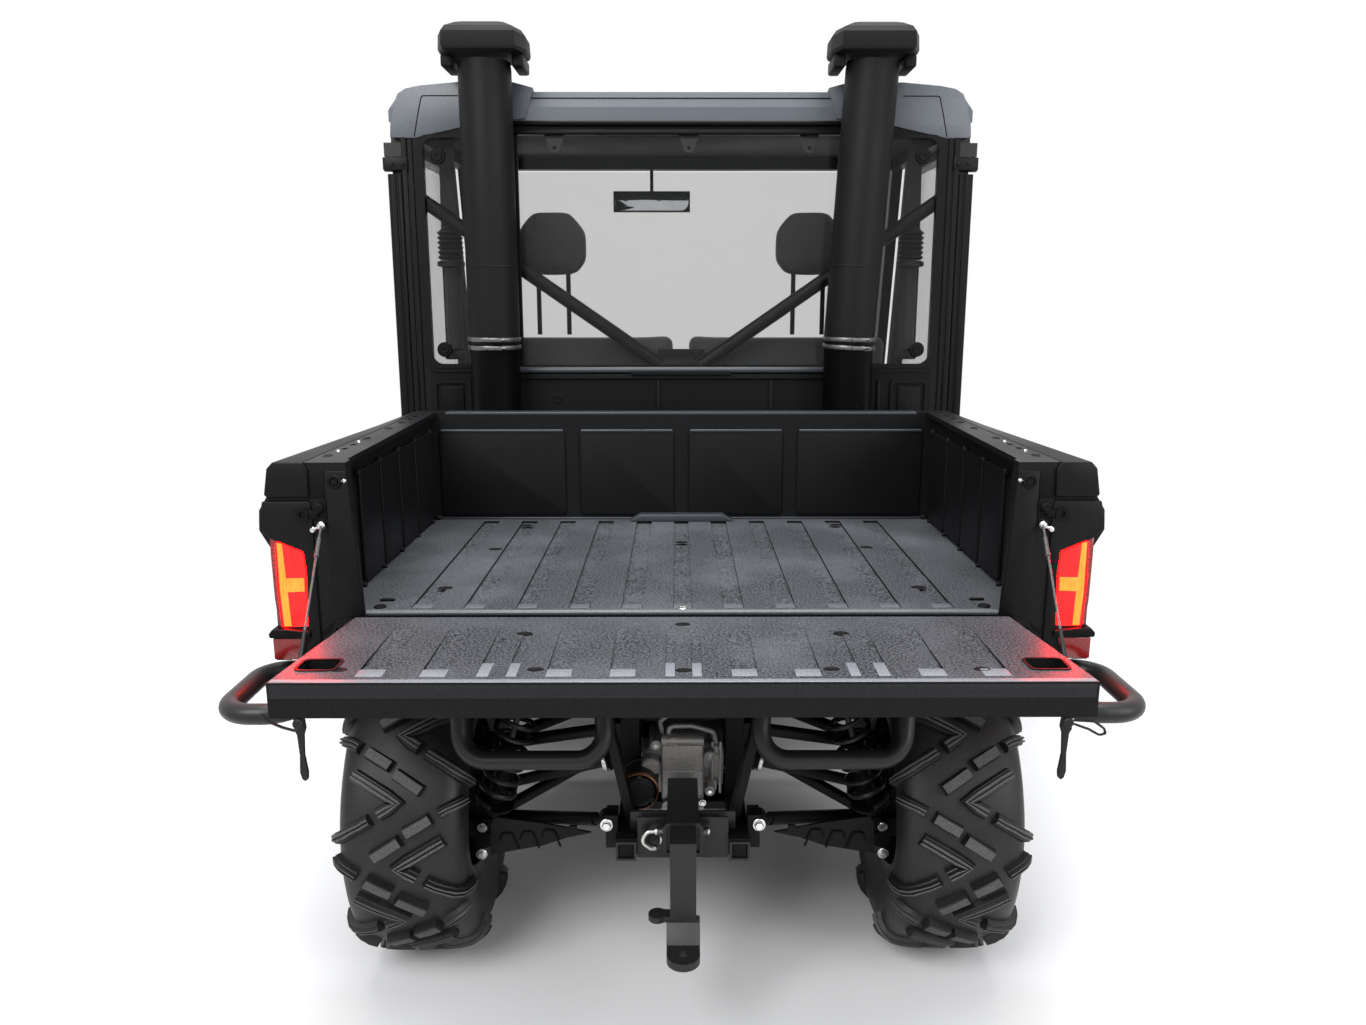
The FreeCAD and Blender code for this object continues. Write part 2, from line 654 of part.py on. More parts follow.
def make_cab_frame():
    half_w, half_l = PILLAR_W / 2, PILLAR / 2
    x = (PILLAR_IN_X, PILLAR_X + half_w)
    foot = SILL_Z + 20 + SEAT
    under = CAB_TOP_Z - PILLAR
    half = [
        box(x, (CAB_REAR_Y, CAB_REAR_Y + PILLAR), (foot, CAB_TOP_Z)),
        box(x, (A_POST_Y - half_l, A_POST_Y + half_l), (foot, 1150)),
        side_prism([(A_POST_Y - half_l, 1149), (A_POST_Y + half_l, 1149), (A_TOP_Y + 26, CAB_TOP_Z),
                    (A_TOP_Y - 26, CAB_TOP_Z)], x),
        box(x, (CAB_REAR_Y, A_TOP_Y), (under, CAB_TOP_Z)),
        rod((60, BRACE_Y, 1251), (PILLAR_X, BRACE_Y, 1734), BRACE_R),
    ]
    for z in HINGE_Z:
        leaf = (PILLAR_X + half_w - 1, DOOR_HINGE_X + 8)
        half.append(box(leaf, (CAB_REAR_Y, CAB_REAR_Y + 14), (z, z + 36)))
        ends = [(DOOR_HINGE_X, DOOR_HINGE_Y, z + up) for up in (10, 76)]
        half.append(rod(*ends, HINGE_PIN_R))
    whole = half + [mirrored(s) for s in half]
    edge = PILLAR_X
    whole.append(box((-edge, edge), (911, 935), (under + 20, CAB_TOP_Z)))
    whole.append(box((-edge, edge), (A_TOP_Y - 24, A_TOP_Y + 22), (under, CAB_TOP_Z)))
    whole.append(box((-edge, edge), (911, 935), (1222, 1250)))
    whole.append(box((-70, 70), (912, 922), (1222, 1300)))
    # Rear view mirror on its stem
    whole.append(rod((-101, A_TOP_Y, 1800), (-101, A_TOP_Y, under + 1), 6))
    whole.append(box((-236, 34), (A_TOP_Y - 14, A_TOP_Y + 12), (1746, 1816)))
    save("cab_frame", [fused(whole)])


def make_doors():
    inner = CAB_OUT_X - DOOR_T
    slope = (A_POST_Y - A_TOP_Y) / (CAB_TOP_Z - 1150)
    top = CAB_TOP_Z - 8
    skin = side_prism([(DOOR_REAR_Y, DOOR_LOW_Z), (DOOR_FRONT_Y, DOOR_LOW_Z), (DOOR_FRONT_Y, 1150),
                       (DOOR_FRONT_Y - slope * (top - 1150), top), (DOOR_REAR_Y, top)], (inner, CAB_OUT_X))
    sill, head = WAIST_Z, top - 66
    pane = [(DOOR_REAR_Y + 72, sill), (DOOR_FRONT_Y - 76, sill),
            (DOOR_FRONT_Y - 76 - slope * (head - sill), head), (DOOR_REAR_Y + 72, head)]
    window = side_prism(pane, (inner - 1, CAB_OUT_X + 1))
    glass = side_prism(pane, (inner + 18, inner + 18 + GLASS_T))
    shrink = box((inner - 5, CAB_OUT_X + 5), (pane[0][0] + SEAT, pane[1][0] - SEAT),
                 (sill + SEAT, head - SEAT))
    back = glass.copy()
    back.translate(V(0, -SEAT, 0))
    glass = glass.common(shrink).common(back)
    knuckles = []
    holes = [window]
    for z in HINGE_Z:
        knuckles.append(box((inner, DOOR_HINGE_X + 8), (DOOR_HINGE_Y - 8, DOOR_REAR_Y + 1), (z + 38, z + 76)))
        ends = [(DOOR_HINGE_X, DOOR_HINGE_Y, z + up) for up in (0, 90)]
        holes.append(rod(*ends, HINGE_PIN_R + FIT))
    handle = box((CAB_OUT_X - 1, CAB_OUT_X + 18), (DOOR_FRONT_Y - 155, DOOR_FRONT_Y - 55), (1080, 1110))
    door = cut(fused([skin, handle] + knuckles), holes)
    save("door_r", [door])
    save("door_l", [mirrored(door)])
    save("door_glass_r", [glass])
    save("door_glass_l", [mirrored(glass)])


WINDOWS = (
    # x low, x high, z low, z high
    (-468.0, 468.0, 1251.0, 1908.0),
    (502.0, 736.0, 1257.0, 1898.0),
    (-736.0, -502.0, 1257.0, 1898.0),
)


def make_cab_walls():
    edge = PILLAR_IN_X - SEAT
    panel = box((-edge, edge), (CAB_REAR_Y, CAB_REAR_Y + 20), (SILL_Z + 20 + SEAT, CAB_TOP_Z))
    holes = [box((a, b), (CAB_REAR_Y - 5, CAB_REAR_Y + 30), (c, d)) for a, b, c, d in WINDOWS]
    save("cab_rear_panel", [cut(panel, holes)])
    panes = [box((a + SEAT, b - SEAT), (CAB_REAR_Y + 4, CAB_REAR_Y + 4 + GLASS_T), (c + SEAT, d - SEAT))
             for a, b, c, d in WINDOWS]
    # The windshield lies in the plane of the A-pillars
    foot = (A_POST_Y + 10, 1172.0)
    head = (A_TOP_Y + 24, CAB_TOP_Z - PILLAR - 4)
    outline = [foot, (foot[0] + GLASS_T, foot[1]), (head[0] + GLASS_T, head[1]), head]
    save("cab_glass", panes + [side_prism(outline, (-edge, edge))])


def make_roof():
    top = CAB_TOP_Z + SEAT + ROOF_T
    low = CAB_TOP_Z + SEAT
    back, nose = CAB_REAR_Y + 1, A_TOP_Y + 131
    side = side_prism([(back, low), (nose - 16, low), (nose, low + 22), (nose - 76, top - 12),
                       (nose - 216, top), (back + 94, top), (back + 12, top - 6), (back, low + 40)],
                      (-900, 900))
    front = front_prism([(-828, low), (828, low), (828, low + 30), (796, top - 10), (700, top), (-700, top),
                         (-796, top - 10), (-828, low + 30)], (back - 80, nose + 80))
    save("roof", [side.common(front)])


def make_floor():
    top = SILL_Z + 20
    edge = PILLAR_IN_X - SEAT
    front = A_POST_Y + PILLAR / 2
    pan = box((-edge, edge), (CAB_REAR_Y + 20 + SEAT, front), (top + SEAT, top + 8))
    board = box((-edge, edge), (front - 8, front), (top + 7, 955))
    belly = box((-RAIL_X - 20, RAIL_X + 20), (280, WHEELBASE - 200), (RAIL_Z - 28, RAIL_Z - 20 - SEAT))
    save("floor_pans", [fused([pan, board]), belly])


def make_interior():
    floor = SILL_Z + 20 + 8 + SEAT
    save("seat_base", [box((-640, 640), (968, A_POST_Y - 340), (floor, 640))])
    cushion = box((-640, 640), (1080, A_POST_Y - 300), (640 + SEAT, 755))
    rear_face = [(SEAT_TOP_Y - 64, SEAT_TOP_Z), (960, 900), (968, 640 + SEAT)]
    back = side_prism([(1074, 640 + SEAT), (1076, 760), (SEAT_TOP_Y, SEAT_TOP_Z)] + rear_face, (-640, 640))
    save("seat_cushions", [cushion, back])
    rest = []
    for x in (-385, 385):
        ring = [(x - 105, 1556), (x - 105, 1642), (x - 52, 1703), (x + 52, 1703), (x + 105, 1642),
                (x + 105, 1556), (x + 72, 1516), (x - 72, 1516)]
        stems = [rod((x + s * 45, 988, SEAT_TOP_Z + SEAT), (x + s * 45, 988, 1520), 7) for s in (-1, 1)]
        rest.append(fused([front_prism(ring, (950, 1015))] + stems))
    save("headrests", rest)
    board = A_POST_Y + PILLAR / 2 - 8 - SEAT
    face = ((33, 1000), (33, 1150), (100, 1172), (190, 1120), (200, 960), (150, 880))
    back = [(A_POST_Y - y, z) for y, z in face]
    dash = side_prism(back + [(board, 880), (board, 1000)], (7 - PILLAR_IN_X, PILLAR_IN_X - 7))
    tilt = math.radians(STEER_TILT)
    ahead = V(0, math.cos(tilt), -math.sin(tilt))
    centre = at(STEER_X, STEER_Y, STEER_Z)
    column = Part.makeCylinder(30, 110, centre + ahead * 60, ahead)
    bore = Part.makeCylinder(STEER_SHAFT_R + FIT, STEER_SHAFT_L + 2, centre, ahead)
    save("dashboard", [cut(fused([dash, column]), [bore])])


def make_side_panels():
    inner = SILL_X + 20 + SEAT
    rocker = box((inner, CAB_OUT_X), (DOOR_REAR_Y - 20, BODY_REAR_Y - SEAT), (SILL_Z - 20, DOOR_LOW_Z - RUN))
    quarter = box((inner, CAB_OUT_X), (420, CAB_REAR_Y - 8), (SILL_Z - 20, SKIRT_Z - 2 * RUN))
    corner = box((inner, CAB_OUT_X), (870, 900), (SILL_Z - 20, DOOR_LOW_Z - RUN))
    # Room for the rear pillar's foot
    foot = box((inner - 1, PILLAR_X + PILLAR_W / 2 + SEAT), (CAB_REAR_Y - SEAT, CAB_REAR_Y + PILLAR + SEAT),
               (SILL_Z + 20, DOOR_LOW_Z))
    save("side_panels", both(cut(fused([rocker, quarter, corner]), [foot])))


# Front body
BODY_SIDE = (
    # station, z
    (BODY_REAR_Y, BODY_LOW_Z), (BODY_REAR_Y, 1146.0), (BODY_REAR_Y + 37, 1166.0), (HOOD_REAR_Y - 30, 1168.0),
    (WHEELBASE + 350, 1010.0), (WHEELBASE + 425, 900.0), (WHEELBASE + 450, 720.0), (WHEELBASE + 440, 560.0),
    (WHEELBASE + 390, CHIN_Z), (CHIN_REAR_Y, CHIN_Z), (CHIN_REAR_Y, BODY_LOW_Z),
)
BODY_FRONT = (
    # x, z
    (BODY_X, BODY_LOW_Z), (BODY_X, 960.0), (770.0, 1030.0), (640.0, 1110.0), (600.0, 1200.0),
)
BODY_PLAN = (
    # x, station
    (BODY_X, BODY_REAR_Y), (BODY_X, WHEELBASE + 210), (770.0, WHEELBASE + 350), (640.0, WHEELBASE + 440),
    (380.0, WHEELBASE + 480),
)
FRONT_FACE_Y = WHEELBASE + 260


def body_block(shrink):
    """Solid inside the front body's outer faces, each moved in by shrink."""
    side = []
    past = 10.0 if shrink else 0.0
    for y, z in BODY_SIDE:
        if z <= CHIN_Z:
            ahead = past if y == CHIN_REAR_Y else -past if y == BODY_REAR_Y else -shrink
            side.append((y + ahead, z - past))
        elif y == BODY_REAR_Y:
            side.append((y - past, z - shrink))
        else:
            side.append((y - (shrink if y > FRONT_FACE_Y else 0), z - shrink))
    front = [(x - shrink, z - (shrink if z > 1000 else 0)) for x, z in BODY_FRONT]
    plan = [(x - shrink, y - (shrink if y > FRONT_FACE_Y else 0)) for x, y in BODY_PLAN]
    front = front + [(-x, z) for x, z in reversed(front)]
    plan = plan + [(-x, y) for x, y in reversed(plan)]
    block = side_prism(side, (-900, 900))
    block = block.common(front_prism(front, (BODY_REAR_Y - 160, WHEELBASE + 660)))
    return block.common(plan_prism(plan, (300, 1300)))


HOOD_GAP = 6.0
HOOD_AXIS_Y = HOOD_REAR_Y + 3.0
HOOD_AXIS_Z = 1170.0
HOOD_BARREL_R = 7.0
HOOD_PIN_R = 3.0
LAMP_BOX = ((470.0, 690.0), (FRONT_FACE_Y, WHEELBASE + 520), (800.0, 905.0))
GRILLE_BOX = ((-360.0, 360.0), (HOOD_FRONT_Y, WHEELBASE + 520), (600.0, 850.0))


def hood_barrel(x, reach):
    """Part of a hood hinge between two X values, with a tongue that reaches to its panel."""
    y, z, r = HOOD_AXIS_Y, HOOD_AXIS_Z, HOOD_BARREL_R
    tongue = [(y, z - r + 0.5)] + [(y + a, z + b) for a, b in reach] + [(y, z + r)]
    return [rod((x[0], y, z), (x[1], y, z), r), side_prism(tongue, x)]


def make_front_body():
    outer = body_block(0)
    shell = outer.cut(body_block(BODY_T))
    for side in (-1, 1):
        x = sorted((side * 290, side * 900))
        arch = Part.makeCylinder(ARCH_R, x[1] - x[0], at(x[0], WHEELBASE, AXLE_Z), V(1, 0, 0))
        shell = shell.cut(arch)
    opening = box((-HOOD_X, HOOD_X), (HOOD_REAR_Y, HOOD_FRONT_Y), (900, 1250))
    lamp = box(*LAMP_BOX)
    grille = box(*GRILLE_BOX)
    shell = cut(shell, [opening, lamp, mirrored(lamp), grille])
    # Room for the cab's front posts
    post = box((PILLAR_IN_X - RUN, CAB_OUT_X - DOOR_T), (BODY_REAR_Y - 1, A_POST_Y + PILLAR / 2 + RUN),
               (900, 1250))
    shell = cut(shell, [post, mirrored(post)])
    # Brackets that carry the shell on the front frame
    rest = PILLAR_X + PILLAR_W / 2
    ties = [box((rest + SEAT, BODY_X - BODY_T + 1), (BODY_REAR_Y + 9, BODY_REAR_Y + 49), (560, 600))]
    ties.append(box((RAIL_X - 20, 240), (WHEELBASE + 320 + SEAT, WHEELBASE + 425),
                    (RAIL_Z + 142, RAIL_Z + 172)))
    shell = fused([shell] + [t for tie in ties for t in both(tie)])
    # Fixed halves of the hood hinges and their pins
    hinge_pins = []
    for x in (300, 345):
        barrel = hood_barrel((x, x + 15), ((-5, -20), (-25, -20), (-25, -2), (-9, 7)))
        shell = fused([shell] + [t for piece in barrel for t in both(piece)])
    hinge_pins += both(rod((301, HOOD_AXIS_Y, HOOD_AXIS_Z), (359, HOOD_AXIS_Y, HOOD_AXIS_Z), HOOD_PIN_R))
    shell = fused([shell] + hinge_pins)
    # Grille slats across the opening
    x, y, z = GRILLE_BOX
    slats = [box((x[0] - 1, x[1] + 1), y, (z[0] + 30 + 42 * k, z[0] + 46 + 42 * k)) for k in range(5)]
    field = outer.cut(body_block(20))
    shell = fused([shell] + [field.common(slat) for slat in slats])
    save("front_body", shell.Solids)
    lid = outer.cut(body_block(BODY_T - 5))
    inset = box((-HOOD_X + HOOD_GAP, HOOD_X - HOOD_GAP), (HOOD_REAR_Y + HOOD_GAP, HOOD_FRONT_Y - HOOD_GAP),
                (900, 1250))
    lid = lid.common(inset)
    barrel = hood_barrel((316, 344), ((5, -24), (25, -24), (25, -10), (9, 6)))
    lid = fused([lid] + [t for piece in barrel for t in both(piece)])
    bore = rod((300, HOOD_AXIS_Y, HOOD_AXIS_Z), (360, HOOD_AXIS_Y, HOOD_AXIS_Z), HOOD_PIN_R + FIT)
    save("hood", [cut(lid, both(bore))])
    core = outer.cut(body_block(60))
    x, y, z = LAMP_BOX
    small = box((x[0] + SEAT, x[1] - SEAT), y, (z[0] + SEAT, z[1] - SEAT))
    lens = core.common(small)
    save("headlamps", both(lens))


# Bed and tailgate
def bed_side(y, flare):
    """Right wall section at a station as (x, z) points; flare widens the outer face."""
    out = 753.0 + 36.0 * flare
    mid = 790.0 + 48.0 * flare
    return [at(x, y, z) for x, z in (
        (BED_IN_X, BED_UNDER_Z), (BED_IN_X, BED_TOP_Z - 12), (BED_RIM_X - 20 * flare, BED_TOP_Z - 12),
        (BED_RIM_X - 20 * flare, BED_TOP_Z), (out, BED_TOP_Z), (out + 8, BED_TOP_Z - 30), (mid, 1040.0),
        (mid + 3, 1000.0), (mid - 18, 962.0), (mid - 18, 797.0), (mid - 6, 790.0), (mid - 10, SKIRT_Z),
        (mid - 40, SKIRT_Z), (mid - 40, BED_UNDER_Z))]


def ruled(sections):
    wires = [Part.makePolygon(points + points[:1]) for points in sections]
    return Part.makeLoft(wires, True, True)


LAMP = ((757.0, 815.0), (-198.0, -157.0), (799.0, 962.0))
REFLECTOR = ((780.0, 824.0), (-198.0, -177.0), (733.0, 784.0))
FLOOR_GROOVES = (
    # x low, x high on the right; the first crosses the middle
    (-20.0, 20.0), (83.0, 126.0), (191.0, 234.0), (299.0, 342.0), (407.0, 450.0), (515.0, 558.0),
)


RAIL_SLOT_X = 722.0
RAIL_SLOT_R = 6.0
RAIL_SLOT_L = 22.0
RAIL_SLOT_DEPTH = 30.0
RAIL_SLOT_PITCH = 60.0
RAIL_SLOT_PAIRS = (20.0, 560.0)


def rail_slot(y):
    """Upright slot in the top of the right rail, its length along Y."""
    z = (BED_TOP_Z - RAIL_SLOT_DEPTH, BED_TOP_Z + 1)
    straight = RAIL_SLOT_L / 2 - RAIL_SLOT_R
    ends = [rod((RAIL_SLOT_X, y + s * straight, z[0]), (RAIL_SLOT_X, y + s * straight, z[1]), RAIL_SLOT_R)
            for s in (-1, 1)]
    middle = box((RAIL_SLOT_X - RAIL_SLOT_R, RAIL_SLOT_X + RAIL_SLOT_R), (y - straight, y + straight), z)
    return fused(ends + [middle])


def make_bed():
    front_out = BED_FRONT_Y + BED_FRONT_T
    wall = ruled([bed_side(BED_REAR_Y, 1.0), bed_side(front_out, 0.0)])
    post = plan_prism([(POST_IN_LOW_X, BED_REAR_Y), (BED_IN_X + 20, BED_REAR_Y),
                       (BED_IN_X + 20, BED_REAR_Y + POST_L), (BED_IN_X - 1, BED_REAR_Y + POST_L)],
                      (BED_UNDER_Z, BED_TOP_Z))
    lean = front_prism([(POST_IN_LOW_X - 1, BED_FLOOR_Z), (POST_IN_TOP_X, BED_TOP_Z + 1),
                        (POST_IN_LOW_X - 1, BED_TOP_Z + 1)], (BED_REAR_Y - 1, BED_REAR_Y + POST_L + 1))
    post = post.cut(lean)
    ear = box((POST_IN_LOW_X + 18, POST_IN_LOW_X + 30), (GATE_AXIS_Y - 16, BED_REAR_Y + 5),
              (GATE_AXIS_Z - 18, GATE_AXIS_Z + 18))
    pin = rod((POST_IN_LOW_X + 30, GATE_AXIS_Y, GATE_AXIS_Z),
              (GATE_HINGE_X - GATE_PIN_L, GATE_AXIS_Y, GATE_AXIS_Z), GATE_PIN_R)
    lug = fused([rod((DUMP_X - 6, DUMP_Y, DUMP_Z), (DUMP_X + 6, DUMP_Y, DUMP_Z), 20),
                 side_prism([(DUMP_Y - 19, DUMP_Z), (DUMP_Y + 19, DUMP_Z), (DUMP_Y + 60, BED_UNDER_Z + 1),
                             (BED_REAR_Y, BED_UNDER_Z + 1)], (DUMP_X - 6, DUMP_X + 6))])
    runner = box((UPPER_RAIL_X - 25, UPPER_RAIL_X + 25), (-100, 660),
                 (UPPER_RAIL_Z + 20 + RUN, BED_UNDER_Z + 1))
    stud = rod((CABLE_X, BED_REAR_Y + 5, CABLE_Z), (CABLE_X, BED_REAR_Y - 4, CABLE_Z), 7)
    rear_hem = box((BED_IN_X - 1, 800), (BED_REAR_Y, BED_REAR_Y + POST_L), (SKIRT_Z + 2, BED_TOP_Z - 8))
    half = [wall, post, ear, pin, lug, runner, rear_hem, stud]
    whole = half + [mirrored(s) for s in half]
    whole.append(box((-BED_IN_X - 1, BED_IN_X + 1), (BED_REAR_Y, front_out), (BED_UNDER_Z, BED_FLOOR_Z)))
    whole.append(front_prism([(-BED_IN_X - 1, BED_UNDER_Z), (BED_IN_X + 1, BED_UNDER_Z), (753, BED_TOP_Z),
                              (-753, BED_TOP_Z)], (BED_FRONT_Y, front_out)))
    land = box((-BED_IN_X - 1, BED_IN_X + 1), (BED_REAR_Y, BED_FRONT_Y + 1),
               (BED_FLOOR_Z - 1, BED_FLOOR_Z + LAND_H))
    run = (BED_REAR_Y + LAND_MARGIN, BED_FRONT_Y - LAND_MARGIN)
    grooves = [box((a, b), run, (BED_FLOOR_Z, BED_FLOOR_Z + 9))
               for a, b in FLOOR_GROOVES]
    whole.append(cut(land, grooves[:1] + [t for groove in grooves[1:] for t in both(groove)]))
    for x in (-22, 16):
        whole.append(box((x, x + 6), (STRUT_HIGH[0] - 22, STRUT_HIGH[0] + 22),
                         (STRUT_HIGH[1] - 20, BED_UNDER_Z + 1)))
    holes = [rod((DUMP_X - 10, DUMP_Y, DUMP_Z), (DUMP_X + 10, DUMP_Y, DUMP_Z), DUMP_PIN_R + FIT)]
    holes.append(box(*LAMP))
    holes.append(box(*REFLECTOR))
    for centre in RAIL_SLOT_PAIRS:
        for y in (centre - RAIL_SLOT_PITCH / 2, centre + RAIL_SLOT_PITCH / 2):
            holes.append(rail_slot(y))
    holes += [mirrored(s) for s in holes]
    holes.append(rod((-30, STRUT_HIGH[0], STRUT_HIGH[1]), (30, STRUT_HIGH[0], STRUT_HIGH[1]), 12.4))
    save("bed", [cut(fused(whole), holes)])
    lamps = []
    for x, y, z in (LAMP, REFLECTOR):
        lamps += both(box((x[0] + SEAT, x[1] - SEAT), (BED_REAR_Y, y[1] - SEAT), (z[0] + SEAT, z[1] - SEAT)))
    save("tail_lamps", lamps)


SLOT_X = (598.0, 664.0)
SLOT_Y = (-524.0, -472.0)
GATE_GROOVES = (
    # x low, x high on the right
    (14.0, 32.0), (81.0, 126.0), (189.0, 234.0), (282.0, 301.0),
    (329.0, 351.0), (401.0, 447.0), (508.0, 555.0),
)
GROOVE_Y = (-276.0, -520.0, -552.0)


def make_tailgate():
    top = BED_FLOOR_Z + LAND_H
    plate = plan_prism([(-GATE_HINGE_X, GATE_AXIS_Y), (GATE_HINGE_X, GATE_AXIS_Y), (GATE_END_X, GATE_END_Y),
                        (-GATE_END_X, GATE_END_Y)], (GATE_UNDER_Z, top))
    barrel = rod((-GATE_HINGE_X, GATE_AXIS_Y, GATE_AXIS_Z), (GATE_HINGE_X, GATE_AXIS_Y, GATE_AXIS_Z), GATE_R)
    studs = both(rod((670, -436, GATE_AXIS_Z + 8), (684, -436, GATE_AXIS_Z + 8), 6))
    body = fused([plate, barrel] + studs)
    # Grooves deepen from the hinge to the outer edge, where each ends in a ramp
    start, deep, end = GROOVE_Y
    wedge = [(start, top), (deep, top - LAND_H), (end, top), (end, top + 1), (start, top + 1)]
    tools = [t for x in GATE_GROOVES for t in both(side_prism(wedge, x))]
    for side in (-1, 1):
        x = sorted((side * SLOT_X[0], side * SLOT_X[1]))
        tools.append(box(x, SLOT_Y, (GATE_UNDER_Z - 1, top + 1)))
        tools.append(rod((side * (GATE_HINGE_X - GATE_PIN_L - 1), GATE_AXIS_Y, GATE_AXIS_Z),
                         (side * (GATE_HINGE_X + 5), GATE_AXIS_Y, GATE_AXIS_Z), GATE_PIN_R + FIT))
    save("tailgate", [cut(body, tools)])


def make_cables():
    cable = rod((CABLE_X, BED_REAR_Y - 6, CABLE_Z), (689.6, -436, GATE_AXIS_Z + 8), 2.5)
    save("tailgate_cables", both(cable))
    strap = fused([box((632, 654), (-577, -573), (680, GATE_UNDER_Z - SEAT)),
                   box((636, 650), (-577, -571), (650, 681))])
    save("tailgate_straps", both(strap))


# Steering
def make_steering():
    tilt = math.radians(STEER_TILT)
    ahead = V(0, math.cos(tilt), -math.sin(tilt))
    centre = at(STEER_X, STEER_Y, STEER_Z)
    ring = Part.makeTorus(STEER_R, 15, centre, ahead)
    hub = Part.makeCylinder(48, 40, centre - ahead * 10, ahead)
    pieces = [ring, hub]
    for angle in (0, 120, 240):
        spoke = Part.makeCylinder(11, STEER_R - 4, centre, V(1, 0, 0))
        spoke.rotate(centre, ahead, 90 + angle)
        pieces.append(spoke)
    pieces.append(Part.makeCylinder(STEER_SHAFT_R, STEER_SHAFT_L, centre, ahead))
    save("steering_wheel", [fused(pieces)])
    y = WHEELBASE - ARM_BACK
    x = KING_X - 12
    bar = [rod((-x, y, RACK_Z), (x, y, RACK_Z), 10), rod((-210, y, RACK_Z), (210, y, RACK_Z), RACK_R)]
    bar += [rod((s * x, y, 404.5), (s * x, y, 430), 16) for s in (-1, 1)]
    save("tie_rods", [fused(bar)])


# Gas strut under the bed
def make_strut():
    low, high = at(0, *STRUT_LOW), at(0, *STRUT_HIGH)
    run = high - low
    along = V(run).normalize()
    eye = Part.makeCylinder(13, 16, low - V(8, 0, 0), V(1, 0, 0))
    tube = Part.makeCylinder(STRUT_TUBE_R, run.Length - 45, low + along * 0, along)
    bore = Part.makeCylinder(STRUT_ROD_R + FIT, run.Length, low + along * (ROD_START - 1), along)
    hole = Part.makeCylinder(5 + FIT, 40, low - V(20, 0, 0), V(1, 0, 0))
    tube = tube.cut(box((-30, -8), (-60, -4), (540, 592))).cut(box((8, 30), (-60, -4), (540, 592)))
    save("strut_tube", [cut(fused([eye, tube]), [bore, hole])])
    piston_rod = Part.makeCylinder(STRUT_ROD_R, run.Length - ROD_START, low + along * ROD_START, along)
    head = Part.makeCylinder(13, 16, high - V(8, 0, 0), V(1, 0, 0))
    pin = Part.makeCylinder(5, 46, high - V(23, 0, 0), V(1, 0, 0))
    save("strut_rod", [fused([piston_rod, head, pin])])


# Snorkels
SNORKELS = (
    # x at the foot, x at the bend, x at the top
    (-537.0, -537.0, -537.0),
    (484.0, 484.0, 525.0),
)


def make_snorkels():
    shapes = []
    for foot, bend, top in SNORKELS:
        hose_r = SNORKEL_R - 2
        hose = rod((foot, SNORKEL_Y, UPPER_RAIL_Z + 20 + SEAT), (foot, SNORKEL_Y, 1320), hose_r)
        pipe = rod((bend, SNORKEL_Y, 1310), (top, SNORKEL_Y, 2080), SNORKEL_R)
        cap = [(-120, 2086), (-84, 2062), (84, 2062), (120, 2086), (120, 2128), (70, SNORKEL_TOP_Z),
               (-70, SNORKEL_TOP_Z), (-120, 2128)]
        head = front_prism([(top + x, z) for x, z in cap], (SNORKEL_Y - 100, SNORKEL_Y + 100))
        shapes.append(fused([hose, pipe, head]))
    save("snorkels", shapes)


make_frame()
make_drivetrain()
make_rear_suspension()
make_half_shafts()
make_shocks()
make_front_arms()
make_front_knuckle(-1, "knuckle_fl")
make_front_knuckle(1, "knuckle_fr")
make_wheels()
make_bumpers()
make_hitch()
make_cab_frame()
make_cab_walls()
make_doors()
make_roof()
make_floor()
make_interior()
make_side_panels()
make_front_body()
make_bed()
make_tailgate()
make_cables()
make_steering()
make_strut()
make_snorkels()
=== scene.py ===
"""Looks of a side by side utility vehicle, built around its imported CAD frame.

Lengths in the builders are millimetres. A point is (x, station, z), where a
station counts forward from the rear axle. to_frame turns them into the frame.
"""
import json
import math

import bmesh
import bpy
import numpy as np
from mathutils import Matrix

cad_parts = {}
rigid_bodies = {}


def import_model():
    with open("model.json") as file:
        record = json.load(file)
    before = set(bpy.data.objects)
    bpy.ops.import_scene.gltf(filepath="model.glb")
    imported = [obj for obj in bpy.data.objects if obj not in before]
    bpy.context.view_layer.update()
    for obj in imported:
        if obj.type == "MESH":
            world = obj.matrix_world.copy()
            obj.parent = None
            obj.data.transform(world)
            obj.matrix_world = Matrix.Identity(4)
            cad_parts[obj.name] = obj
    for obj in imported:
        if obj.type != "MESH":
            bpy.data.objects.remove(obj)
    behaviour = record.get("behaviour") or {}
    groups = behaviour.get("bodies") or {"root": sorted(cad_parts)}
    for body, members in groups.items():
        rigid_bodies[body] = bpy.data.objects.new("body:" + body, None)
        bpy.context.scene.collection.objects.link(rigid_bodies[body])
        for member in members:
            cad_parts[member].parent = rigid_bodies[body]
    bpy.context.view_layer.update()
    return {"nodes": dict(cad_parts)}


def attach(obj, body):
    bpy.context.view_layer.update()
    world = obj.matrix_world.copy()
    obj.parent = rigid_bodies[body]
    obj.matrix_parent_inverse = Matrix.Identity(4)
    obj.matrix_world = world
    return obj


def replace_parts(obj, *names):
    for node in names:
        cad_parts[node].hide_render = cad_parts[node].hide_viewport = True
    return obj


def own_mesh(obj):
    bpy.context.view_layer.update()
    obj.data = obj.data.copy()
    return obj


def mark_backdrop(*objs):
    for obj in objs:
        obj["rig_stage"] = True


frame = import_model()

bl_info = {
    "name": "Side by Side Vehicle Looks",
    "version": (1, 0, 0),
    "blender": (4, 5, 0),
    "location": "View3D > Sidebar > Vehicle",
    "description": "Builds the surfaces, materials and studio for a side by side utility vehicle",
    "category": "Object",
}

REAR_AXLE_Y = -1090.0
WHEELBASE = 2240.0
AXLE_Z = 343.0
RIGHT, AHEAD, BACK, UP = (1, 0, 0), (0, 1, 0), (0, -1, 0), (0, 0, 1)
# Coordinates that a flat outline's two numbers and its level are, by the axis it is square to
PLANES = {"x": [1, 2, 0], "y": [0, 2, 1], "z": [0, 1, 2]}
MATS = {}


